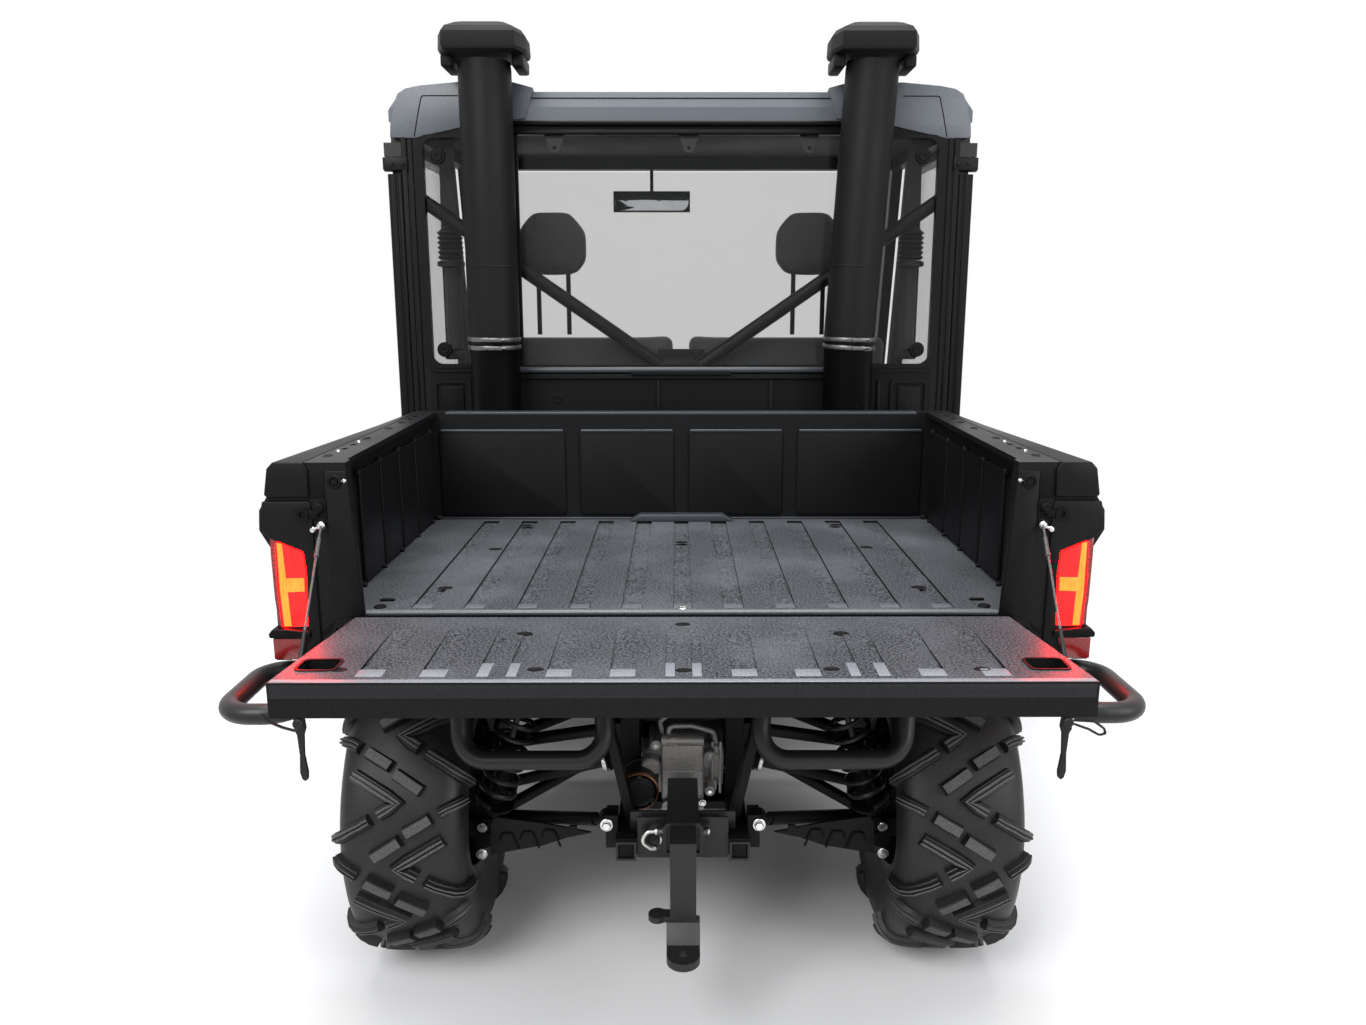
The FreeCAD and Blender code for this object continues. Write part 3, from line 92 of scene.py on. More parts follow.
# Shapes: pairs of (points, faces) in millimetres and stations
def to_frame(points):
    """Frame metres: (x, station - 1090, z) / 1000."""
    return (np.asarray(points, dtype=float) + (0.0, REAR_AXLE_Y, 0.0)) / 1000.0


def mirror(shape):
    """The shape with x -> -x and its faces turned round."""
    points, faces = shape
    return np.asarray(points) * (-1.0, 1.0, 1.0), [tuple(reversed(f)) for f in faces]


class Pile:
    """Collects shapes that become one object."""

    def __init__(self, *shapes):
        self.points = []
        self.faces = []
        self.count = 0
        self.add(*shapes)

    def add(self, *shapes):
        """Adds shapes of (points, faces)."""
        for points, faces in shapes:
            self.points.append(np.asarray(points, dtype=float))
            self.faces += [tuple(i + self.count for i in face) for face in faces]
            self.count += len(points)
        return self

    def both(self, *shapes):
        """Adds shapes and their mirror images."""
        for shape in shapes:
            self.add(shape, mirror(shape))
        return self

    def shape(self):
        """Everything in the pile as one shape."""
        return np.vstack(self.points), self.faces

    def make(self, name, material, slot, body="chassis", angle=32.0):
        """Makes the object, whose edges are sharp where faces turn by more than angle."""
        mesh = bpy.data.meshes.new(name)
        mesh.from_pydata(to_frame(np.vstack(self.points)).tolist(), [], self.faces)
        mesh.update()
        mesh.polygons.foreach_set("use_smooth", np.ones(len(mesh.polygons), dtype=bool))
        mesh.set_sharp_from_angle(angle=math.radians(angle))
        mesh.materials.append(MATS[material])
        piece = bpy.data.objects.new(name, mesh)
        bpy.context.scene.collection.objects.link(piece)
        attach(piece, body)
        return piece


def sided(shape, side):
    """The shape as it is on the right, mirrored where side is -1."""
    return mirror(shape) if side < 0 else shape


def from_bmesh(bm):
    """Points and faces of a bmesh, which is freed."""
    bm.normal_update()
    bm.verts.ensure_lookup_table()
    points = np.array([v.co[:] for v in bm.verts])
    faces = [tuple(v.index for v in f.verts) for f in bm.faces]
    bm.free()
    return points, faces


def bevelled(bm, size, segments, angle=20.0):
    """Rounds each edge whose two faces turn by more than angle."""
    if size > 0:
        edges = [e for e in bm.edges if len(e.link_faces) == 2 and e.calc_face_angle() > math.radians(angle)]
        bmesh.ops.bevel(bm, geom=edges, offset=size, offset_type="OFFSET", segments=segments,
                        profile=0.5, affect="EDGES", clamp_overlap=True)
    bm.verts.index_update()
    return from_bmesh(bm)


def box(x, y, z, bevel=2.0, segments=2):
    """Box from three (low, high) pairs with its edges rounded."""
    bm = bmesh.new()
    bmesh.ops.create_cube(bm, size=1.0)
    low = np.array([x[0], y[0], z[0]])
    span = np.array([x[1], y[1], z[1]]) - low
    for v in bm.verts:
        v.co = low + (np.array(v.co[:]) + 0.5) * span
    return bevelled(bm, bevel, segments)


def raised(outline, axis, level):
    """Points of a flat outline at a level of the axis that it is square to."""
    points = np.empty((len(outline), 3))
    points[:, PLANES[axis]] = [(a, b, level) for a, b in outline]
    return points


def skin(rings, count, loop=False):
    """Quads between neighbouring rings of count points; with loop the last ring meets the first."""
    faces = []
    for k in range(rings if loop else rings - 1):
        a, b = k * count, (k + 1) % rings * count
        faces += [(a + i, a + (i + 1) % count, b + (i + 1) % count, b + i) for i in range(count)]
    return faces


def ends(rings, count):
    """The two faces that close a row of rings: the first turned round, the last as it runs."""
    last = (rings - 1) * count
    return [tuple(range(count - 1, -1, -1)), tuple(last + i for i in range(count))]


def filled(points, faces):
    """Bmesh of points and faces."""
    bm = bmesh.new()
    verts = [bm.verts.new(p) for p in points]
    for face in faces:
        bm.faces.new([verts[i] for i in face])
    return bm


def prism(outline, axis, span, bevel=2.0, segments=2, far=None):
    """Flat outline swept along an axis, to a far outline if one is given: p + t (q - p), t 0 to 1."""
    n = len(outline)
    points = np.vstack((raised(outline, axis, span[0]), raised(far or outline, axis, span[1])))
    faces = [tuple(range(n)), tuple(range(2 * n - 1, n - 1, -1))] + skin(2, n)
    bm = filled(points, faces)
    bmesh.ops.recalc_face_normals(bm, faces=bm.faces)
    return bevelled(bm, bevel, segments)


def basis(direction):
    """Two unit vectors square to the direction and to each other."""
    w = np.asarray(direction, dtype=float)
    w = w / np.linalg.norm(w)
    side = np.array((0.0, 0.0, 1.0)) if abs(w[2]) < 0.9 else np.array((1.0, 0.0, 0.0))
    u = np.cross(side, w)
    u = u / np.linalg.norm(u)
    return u, np.cross(w, u), w


def lathe(profile, origin, direction, segments=40):
    """Profile of (height, radius) turned about a line: o + h w + r (u cos t + v sin t)."""
    u, v, w = basis(direction)
    profile = np.asarray(profile, dtype=float)
    turn = np.arange(segments) * 2 * math.pi / segments
    ring = np.outer(np.cos(turn), u) + np.outer(np.sin(turn), v)
    points = (np.asarray(origin, dtype=float) + profile[:, 0, None, None] * w
              + profile[:, 1, None, None] * ring[None]).reshape(-1, 3)
    closing = [face for face, (_, r) in zip(ends(len(profile), segments), profile[[0, -1]]) if r > 0]
    return points, skin(len(profile), segments) + closing


def rounded_path(points, bend, steps=8):
    """Polyline whose corners are arcs of radius bend, each of a few steps."""
    points = [np.asarray(p, dtype=float) for p in points]
    out = [points[0]]
    for i in range(1, len(points) - 1):
        back = points[i - 1] - points[i]
        ahead = points[i + 1] - points[i]
        back, ahead = back / np.linalg.norm(back), ahead / np.linalg.norm(ahead)
        turn = math.pi - math.acos(np.clip(back @ ahead, -1, 1))
        reach = bend * math.tan(turn / 2)
        centre = points[i] + (back + ahead) / np.linalg.norm(back + ahead) * bend / math.cos(turn / 2)
        p, q = points[i] + back * reach - centre, points[i] + ahead * reach - centre
        for k in range(steps + 1):
            t = k / steps
            s = (math.sin((1 - t) * turn) * p + math.sin(t * turn) * q) / math.sin(turn)
            out.append(centre + s)
    out.append(points[-1])
    return np.array(out)


def tube(path, radius, segments=16, closed=False):
    """Round bar along a path, its frame carried along with no twist; radius may vary."""
    path = np.asarray(path, dtype=float)
    n = len(path)
    radii = np.broadcast_to(np.asarray(radius, dtype=float), n)
    if closed:
        tangent = np.roll(path, -1, 0) - np.roll(path, 1, 0)
    else:
        tangent = np.gradient(path, axis=0)
    tangent = tangent / np.linalg.norm(tangent, axis=1, keepdims=True)
    u, v, _ = basis(tangent[0])
    turn = np.arange(segments) * 2 * math.pi / segments
    points = []
    for k in range(n):
        u = u - tangent[k] * (u @ tangent[k])
        u = u / np.linalg.norm(u)
        v = np.cross(tangent[k], u)
        points.append(path[k] + radii[k] * (np.outer(np.cos(turn), u) + np.outer(np.sin(turn), v)))
    return np.vstack(points), skin(n, segments, closed) + ([] if closed else ends(n, segments))


def spring(low, high, radius, wire, turns, per_turn=20):
    """Helix a + (b - a) t + r (u cos 2 pi n t + v sin 2 pi n t) as a round wire."""
    low, high = np.asarray(low, dtype=float), np.asarray(high, dtype=float)
    u, v, _ = basis(high - low)
    t = np.linspace(0, 1, int(turns * per_turn) + 1)
    angle = 2 * math.pi * turns * t
    path = low + np.outer(t, high - low) + radius * (np.outer(np.cos(angle), u) + np.outer(np.sin(angle), v))
    return tube(path, wire, 8)


def bolt(origin, direction, size=8.0, washer=True):
    """Hex head with a chamfer on a washer, standing out along the direction."""
    pile = Pile()
    if washer:
        pile.add(lathe([(0, size * 1.35), (size * 0.18, size * 1.35), (size * 0.25, size * 1.25)],
                       origin, direction, 24))
    return pile.add(lathe([(0.1, size), (size * 0.75, size), (size * 0.92, size * 0.82)],
                          origin, direction, 6)).shape()


def ring_plate(outer, inner, axis, span):
    """Flat frame between two outlines with the same number of points."""
    n = len(outer)
    points = np.vstack([raised(list(outer) + list(inner), axis, level) for level in span])
    faces = []
    for i in range(n):
        j = (i + 1) % n
        o0, o1, i0, i1 = i, j, n + i, n + j
        faces += [(o0, i0, i1, o1), (2 * n + o0, 2 * n + o1, 2 * n + i1, 2 * n + i0),
                  (o0, o1, 2 * n + o1, 2 * n + o0), (i1, i0, 2 * n + i0, 2 * n + i1)]
    bm = filled(points, faces)
    bmesh.ops.recalc_face_normals(bm, faces=bm.faces)
    bm.verts.index_update()
    return from_bmesh(bm)


def rounded_rect(x, z, radius, steps=6):
    """Outline of a rectangle with arcs at its corners."""
    out = []
    corners = ((x[1] - radius, z[1] - radius, 0), (x[0] + radius, z[1] - radius, 90),
               (x[0] + radius, z[0] + radius, 180), (x[1] - radius, z[0] + radius, 270))
    for cx, cz, start in corners:
        for k in range(steps + 1):
            a = math.radians(start + 90 * k / steps)
            out.append((cx + radius * math.cos(a), cz + radius * math.sin(a)))
    return out


# Materials
def feed(tree, made, inputs):
    """Sets inputs of a node to constants or links them to sockets."""
    for key, value in inputs.items():
        if isinstance(value, bpy.types.NodeSocket):
            tree.links.new(value, made.inputs[key])
        else:
            made.inputs[key].default_value = value


def node(tree, kind, inputs, **settings):
    """New node of a kind, with its settings made first and its inputs fed."""
    made = tree.nodes.new(kind)
    for key, value in settings.items():
        setattr(made, key, value)
    feed(tree, made, inputs)
    return made


def maths(tree, operation, a, b, clamp=False):
    """Result of an operation on two values."""
    return node(tree, "ShaderNodeMath", {0: a, 1: b}, operation=operation, use_clamp=clamp).outputs[0]


def node_tree(name):
    """New material with its node tree and a surface shader at its output."""
    material = bpy.data.materials.new(name)
    material.use_nodes = True
    tree = material.node_tree
    tree.nodes.clear()
    out = tree.nodes.new("ShaderNodeOutputMaterial")
    shader = tree.nodes.new("ShaderNodeBsdfPrincipled")
    tree.links.new(shader.outputs[0], out.inputs[0])
    return material, tree, shader


def coordinates(tree, kind="Object"):
    """The object's own coordinates, or another output of that node."""
    return tree.nodes.new("ShaderNodeTexCoord").outputs[kind]


def noise(tree, scale, detail=3.0, stretch=None):
    """Noise of the object's own coordinates, in cycles a metre."""
    spot = coordinates(tree)
    if stretch:
        spot = node(tree, "ShaderNodeMapping", {"Vector": spot, "Scale": stretch}).outputs[0]
    return node(tree, "ShaderNodeTexNoise", {"Vector": spot, "Scale": scale, "Detail": detail}).outputs["Fac"]


def ramp(tree, value, low, high, start=0.35, end=0.65):
    """Colour that goes from low to high as the value goes from start to end."""
    made = node(tree, "ShaderNodeValToRGB", {"Fac": value})
    for element, position, colour in zip(made.color_ramp.elements, (start, end), (low, high)):
        element.position = position
        element.color = (*colour, 1)
    return made.outputs["Color"]


def scaled(tree, value, low, high):
    """The value's range from 0.3 to 0.7 stretched to run from low to high."""
    return node(tree, "ShaderNodeMapRange", {"From Min": 0.3, "From Max": 0.7, "To Min": low, "To Max": high,
                                             "Value": value}).outputs["Result"]


def blended(tree, a, b, factor):
    """Colour mix of two sockets by a factor socket."""
    return node(tree, "ShaderNodeMix", {"Factor": factor, "A": a, "B": b}, data_type="RGBA").outputs["Result"]


def relief(tree, height, strength, metres):
    """Normal of a fine relief of the given depth."""
    return node(tree, "ShaderNodeBump", {"Strength": strength, "Distance": metres, "Height": height}).outputs[0]


def surface(name, dark, light, rough, grain, bump, metallic=0.0, patch=2.5, coat=0.0, gloss=0.5):
    """Surface whose colour, gloss and fine relief vary by noise.

    dark and light are the limits of the colour, rough the limits of the
    roughness, grain the fine relief in cycles a metre and bump its depth in
    millimetres. gloss is the strength of the mirror reflection, where 0.5 is
    a plain plastic.
    """
    material, tree, shader = node_tree(name)
    wide = noise(tree, patch, 4.0)
    fine = noise(tree, grain, 2.0)
    feed(tree, shader, {
        "Base Color": ramp(tree, fine, dark, light), "Roughness": scaled(tree, wide, *rough), "Metallic": metallic,
        "Specular IOR Level": gloss, "Normal": relief(tree, fine, 0.8, bump / 1000.0)})
    if coat:
        feed(tree, shader, {"Coat Weight": coat, "Coat Roughness": 0.12})
    return material


def part_of(tree, kind, axis):
    """One coordinate of the object's coordinates or normals."""
    return node(tree, "ShaderNodeSeparateXYZ", {0: coordinates(tree, kind)}).outputs[axis]


def within(tree, axis, low, high):
    """1 where the object coordinate on an axis lies between low and high metres, else 0."""
    value = part_of(tree, "Object", axis)
    return product(tree, maths(tree, "GREATER_THAN", value, low), maths(tree, "LESS_THAN", value, high))


def product(tree, a, b):
    """a times b."""
    return maths(tree, "MULTIPLY", a, b)


def plain_ray(tree):
    """1 for camera, glossy and transmission rays, which see the pale background, else 0."""
    ray = tree.nodes.new("ShaderNodeLightPath")
    total = ray.outputs["Is Camera Ray"]
    for name in ("Is Glossy Ray", "Is Transmission Ray"):
        total = maths(tree, "ADD", total, ray.outputs[name], True)
    return total


def level(tree):
    """1 where a face lies flat, facing up, else 0."""
    return maths(tree, "GREATER_THAN", part_of(tree, "Normal", 2), 0.8)


def floored(material, dark, light, floor, flat=True):
    """Gives the part of a surface inside a box of (axis, low, high) limits a colour of its own. With flat only faces
    that face up take it; on the bed floor and gate top this lighter colour is painted light from above together with
    scuffs.
    """
    tree = material.node_tree
    shader = next(n for n in tree.nodes if n.type == "BSDF_PRINCIPLED")
    first = shader.inputs["Base Color"].links[0].from_socket
    # Only faces that face up take the lighter colour: on the bed floor and gate top it is painted light from above
    inside = level(tree) if flat else None
    for axis, low, high in floor:
        test = within(tree, axis, low, high)
        inside = test if inside is None else product(tree, inside, test)
    speck = ramp(tree, noise(tree, 240.0, 6.0), dark, light, 0.42, 0.58)
    worn = ramp(tree, noise(tree, 5.0, 6.0), (0.0, 0.0, 0.0), (0.45, 0.45, 0.45), 0.42, 0.72)
    pale = ramp(tree, noise(tree, 40.0, 2.0), *shades(light, 1.25, 1.45))
    tree.links.new(blended(tree, first, blended(tree, speck, pale, worn), inside), shader.inputs["Base Color"])
    return material


def glowing(name, colour, strength, rough=0.25):
    """Lit lens: a smooth cover over an even light, brighter in fine ribs."""
    material, tree, shader = node_tree(name)
    ribs = noise(tree, 60.0, 1.0, (8.0, 1.0, 1.0))
    feed(tree, shader, {
        "Base Color": ramp(tree, ribs, *shades(colour, 0.15, 0.2)),
        "Emission Color": ramp(tree, ribs, *shades(colour, 0.75, 1.0)),
        "Emission Strength": strength, "Roughness": rough, "Specular IOR Level": 0.25})
    return material


def clear(name, tint, facing, edge, rough=0.03):
    """Glass that covers more where it is seen edge on."""
    material, tree, shader = node_tree(name)
    weight = node(tree, "ShaderNodeLayerWeight", {"Blend": 0.35}).outputs["Facing"]
    cover = node(tree, "ShaderNodeMapRange", {"To Min": facing, "To Max": edge, "Value": weight}).outputs["Result"]
    feed(tree, shader, {
        "Base Color": ramp(tree, noise(tree, 3.0), *shades(tint, 0.8, 1.0)), "Alpha": cover, "Roughness": rough,
        "IOR": 1.6})
    return material


def woven(name, dark, light, pitch):
    """Cloth of crossed threads: two bands of waves, one along each way."""
    material, tree, shader = node_tree(name)
    spot = coordinates(tree)
    bands = []
    for turn in ((1.0, 0.0, 0.35), (0.0, 1.0, 1.0)):
        turned = node(tree, "ShaderNodeMapping", {"Vector": spot, "Scale": turn}).outputs[0]
        bands.append(node(tree, "ShaderNodeTexWave", {"Vector": turned, "Scale": pitch, "Distortion": 1.2},
                          wave_type="BANDS", bands_direction="DIAGONAL").outputs["Fac"])
    threads = product(tree, *bands)
    feed(tree, shader, {
        "Base Color": ramp(tree, threads, dark, light, 0.0, 1.0),
        "Roughness": scaled(tree, noise(tree, 9.0), 0.75, 0.95), "Sheen Weight": 0.3,
        "Normal": relief(tree, threads, 0.6, 0.0006)})
    return material


def shades(colour, low, high):
    """Darker and lighter limits of a colour."""
    return tuple(c * low for c in colour), tuple(c * high for c in colour)


def make_materials():
    """The materials by their keys, from the panel's colours."""
    looks = bpy.context.scene.vehicle_looks
    bed, slate, black = tuple(looks.bed_colour), tuple(looks.roof_colour), tuple(looks.trim_colour)
    steel, tyre, cloth, red = (tuple(looks.steel_colour), tuple(looks.tyre_colour), tuple(looks.seat_colour),
                               tuple(looks.lamp_colour))
    walls = surface("moulded bed plastic", *shades(bed, 0.3, 0.75), (0.36, 0.52), 420, 0.4, gloss=0.14)
    gate = surface("moulded gate plastic", *shades(bed, 0.3, 0.75), (0.36, 0.52), 420, 0.4, gloss=0.14)
    # Lighter colour of the bed floor and gate top: scuffs together with painted light from above
    scuffed_and_top_lit = shades(bed, 1.4, 7.6)
    return {
        "bed": floored(walls, *scuffed_and_top_lit, ((0, -0.7052, 0.7052), (1, -1.288, -0.4), (2, 0.8205, 0.8295))),
        "gate": floored(gate, *scuffed_and_top_lit, ((1, -1.669, -1.288), (2, 0.8205, 0.8295))),
        "bed_wall": surface("smooth bed plastic", *shades(bed, 0.25, 0.6), (0.34, 0.50), 700, 0.2, gloss=0.14),
        # Bed plastic six to nine times lighter: painted light on the floor pads' tops and a painted highlight along the
        # seam
        "pad": surface("bed plastic lightened as painted top light", *shades(bed, 6.0, 9.0), (0.35, 0.5), 300, 0.3, gloss=0.4),
        # Bed plastic thirteen to nineteen times lighter: a painted highlight on the gate's top lip and its pads
        "painted_highlight": surface("bed plastic lightened as painted highlight", *shades(bed, 13.0, 19.0), (0.3, 0.45), 300, 0.2, gloss=0.5),
        "panel": surface("smooth black plastic", *shades(black, 0.3, 0.55), (0.34, 0.48), 700, 0.15, gloss=0.08),
        # A lighter copy of the bed plastic, for the gate's end face
        "edge": surface("lighter bed plastic", *shades(bed, 0.8, 1.5), (0.36, 0.52), 420, 0.3, gloss=0.2),
        "door": floored(surface("door panel", *shades(slate, 0.5, 0.75), (0.28, 0.40), 520, 0.2, gloss=0.3),
                        *shades(black, 0.4, 0.8), ((2, 1.15, 2.2),), False),
        # Slate-grey plastic; on the bed's lips it is a painted highlight along their lit edges
        "ledge": surface("slate ledge plastic", *shades(slate, 0.30, 0.45), (0.30, 0.42), 600, 0.15, gloss=0.4),
        "roof": surface("slate roof plastic", *shades(slate, 0.8, 1.2), (0.30, 0.42), 520, 0.25),
        "body": surface("slate body plastic", *shades(slate, 0.5, 0.75), (0.28, 0.40), 520, 0.2),
        "trim": surface("black moulded trim", *shades(black, 0.3, 0.6), (0.40, 0.6), 800, 0.3, gloss=0.1),
        # Black plastic; on the drains, holes, latch plates and the sheet under the roof it is painted shade
        "black": surface("black plastic and painted shade", *shades(black, 0.2, 0.4), (0.5, 0.7), 800, 0.3, gloss=0.1),
        "steel": surface("black powder coat", *shades(steel, 0.2, 0.5), (0.34, 0.5), 1400, 0.15, gloss=0.14),
        "grey_steel": surface("grey coated steel", *shades(steel, 3.2, 4.4), (0.4, 0.55), 1200, 0.15, gloss=0.35),
        "bumper": surface("tube powder coat", *shades(steel, 0.8, 1.6), (0.30, 0.42), 1200, 0.12, gloss=0.3),
        "cast": surface("cast aluminium", (0.26, 0.25, 0.24), (0.42, 0.41, 0.40), (0.38, 0.55), 600, 0.5,
                        metallic=0.45, patch=12.0),
        "dark_cast": surface("dark cast metal", (0.010, 0.010, 0.011), (0.022, 0.022, 0.023), (0.45, 0.65), 500, 0.5,
                             metallic=0.2, patch=9.0, gloss=0.25),
        "zinc": surface("bright zinc", (0.55, 0.55, 0.54), (0.72, 0.72, 0.71), (0.18, 0.35), 900, 0.1, metallic=1.0,
                        patch=40.0),
        "band": surface("brushed band", (0.07, 0.07, 0.07), (0.20, 0.20, 0.20), (0.25, 0.45), 900, 0.1, metallic=0.8,
                        patch=60.0),
        "silver": surface("silver wire", (0.50, 0.49, 0.46), (0.66, 0.65, 0.62), (0.25, 0.4), 900, 0.1, metallic=1.0,
                          patch=40.0),
        "copper": surface("warm tinted rim", (0.16, 0.06, 0.025), (0.26, 0.11, 0.05), (0.3, 0.45), 500, 0.1,
                          metallic=0.6, patch=18.0),
        "rubber": surface("tyre rubber", *shades(tyre, 0.35, 0.8), (0.36, 0.55), 260, 0.25, patch=7.0, gloss=0.35),
        "lug": surface("lighter tread tops", *shades(tyre, 3.6, 6.6), (0.5, 0.7), 320, 0.35, patch=7.0, gloss=0.35),
        "boot": surface("soft rubber", *shades(tyre, 0.4, 0.9), (0.45, 0.6), 500, 0.2, gloss=0.25),
        "hose": surface("ribless intake hose", *shades(black, 0.1, 0.25), (0.35, 0.5), 600, 0.15, gloss=0.06),
        "pipe": surface("matte intake pipe", *shades(black, 0.3, 0.6), (0.45, 0.6), 900, 0.25, gloss=0.14),
        "rim": surface("black wheel paint", *shades(steel, 0.6, 1.1), (0.22, 0.34), 700, 0.08, coat=0.3, gloss=0.3),
        "red": glowing("lit red lens", red, 70.0),
        "amber": glowing("lit bar", (1.0, 0.0078, 0.0009), 70.0),
        "reflector": surface("dark red reflector", *shades((red[0], red[1] + 0.03, red[2] + 0.03), 0.16, 0.28),
                             (0.12, 0.2), 240, 0.6, coat=0.5, patch=60.0),
        "lamp_inner": surface("lamp reflector", (0.45, 0.46, 0.48), (0.65, 0.66, 0.68), (0.1, 0.2), 200, 0.1,
                              metallic=1.0),
        "glass": clear("cab glass", (0.012, 0.014, 0.015), 0.14, 0.42),
        "lens": clear("lamp glass", (0.25, 0.27, 0.28), 0.22, 0.8),
        "mirror": surface("mirror glass", (0.55, 0.57, 0.6), (0.62, 0.64, 0.67), (0.02, 0.06), 20, 0.01, metallic=1.0),
        "seat": woven("seat cloth", *shades(cloth, 0.5, 1.6), 160),
        "cable": surface("braided cable", (0.04, 0.038, 0.038), (0.13, 0.125, 0.125), (0.35, 0.5), 1500, 0.8,
                         metallic=0.3, gloss=0.3),
        "chrome": surface("polished rod", (0.60, 0.60, 0.62), (0.68, 0.68, 0.70), (0.05, 0.12), 300, 0.02,
                          metallic=1.0),
        "screen": surface("dark display", (0.004, 0.004, 0.005), (0.008, 0.008, 0.010), (0.05, 0.1), 20, 0.01,
                          coat=1.0),
    }


CARRIED = {
    # CAD nodes that stay in view, and the material each one takes
    "steel": ("frame", "rear_arms", "front_arms", "cab_frame", "strut_tube", "tie_rods"),
    "dark_cast": ("engine", "rear_knuckles", "knuckle_fl", "knuckle_fr"),
    "cast": ("gearboxes",),
    "boot": ("half_shafts", "tailgate_straps"),
    "rim": ("rim_rl", "rim_rr", "rim_fl", "rim_fr"),
    "bumper": ("rear_bumper", "front_bumper", "hitch_receiver", "drawbar"),
    "trim": ("cab_rear_panel", "floor_pans", "dashboard", "side_panels", "seat_base"),
    "glass": ("cab_glass", "door_glass_r", "door_glass_l"),
    "door": ("door_r", "door_l"),
    "body": ("front_body", "hood"),
    "roof": ("roof",),
    "bed": ("bed",),
    "gate": ("tailgate",),
    "reflector": ("tail_lamps",),
    "chrome": ("strut_rod",),
    "lens": ("headlamps",),
    "cable": ("tailgate_cables",),
}
ROUNDED = {
    # CAD nodes with straight edges that get a small radius, in millimetres
    "bed": 3.0, "tailgate": 2.5, "roof": 14.0, "door_r": 4.0, "door_l": 4.0, "dashboard": 8.0, "seat_base": 8.0,
    "side_panels": 5.0, "front_body": 3.0, "hood": 4.0, "cab_frame": 3.0, "frame": 2.0, "hitch_receiver": 1.5,
    "drawbar": 1.5, "engine": 10.0, "cab_rear_panel": 2.0, "floor_pans": 1.5, "rear_arms": 1.5,
}


def dress_nodes():
    """Gives each carried CAD node its material and rounds its hard edges."""
    for key, nodes in CARRIED.items():
        for name in nodes:
            piece = frame["nodes"][name]
            piece.data.materials.clear()
            piece.data.materials.append(MATS[key])
    for name, radius in ROUNDED.items():
        piece = frame["nodes"][name]
        edge = piece.modifiers.new("edges", "BEVEL")
        edge.width = radius / 1000.0
        edge.segments = 2
        edge.limit_method = "ANGLE"
        edge.angle_limit = math.radians(38)
        edge.use_clamp_overlap = True
        edge.harden_normals = False


# Bed
BED_REAR = -197.0
BED_FRONT = 689.0
FLOOR_Z = 829.0
BED_IN_X = 705.0
RAIL_Z = 1136.0


def dish(x, y, z, long=17.0, wide=11.0):
    """Shallow oval drain: a raised lip round a floor level with the surface, not a hole, coloured black by its callers
    as painted shade: rings x + a s cos t, y + b s sin t at shares s.
    """
    turn = np.linspace(0, 2 * math.pi, 24, endpoint=False)
    rings = [np.column_stack((x + long * share * np.cos(turn), y + wide * share * np.sin(turn),
                              np.full(24, z + rise)))
             for share, rise in ((1.0, 0.0), (0.9, 1.0), (0.78, 0.9), (0.66, 0.15), (0.02, 0.1))]
    return np.vstack(rings), skin(5, 24)


FRONT_PANELS = ((-688.0, -322.0), (-294.0, -14.0), (14.0, 294.0), (322.0, 688.0))
SIDE_GROOVES = (633.0, 468.0, 311.0, 153.0, -6.0)
FLOOR_DRAINS = ((-519.0, -20.0), (-470.0, 330.0), (-430.0, 600.0), (0.0, 400.0), (519.0, -20.0), (470.0, 345.0),
                (430.0, 605.0))
FLOOR_GROOVES = ((-20.0, 20.0), (83.0, 126.0), (191.0, 234.0), (299.0, 342.0), (407.0, 450.0), (515.0, 558.0))
RAIL_BOLTS = (-52.0, 88.0)


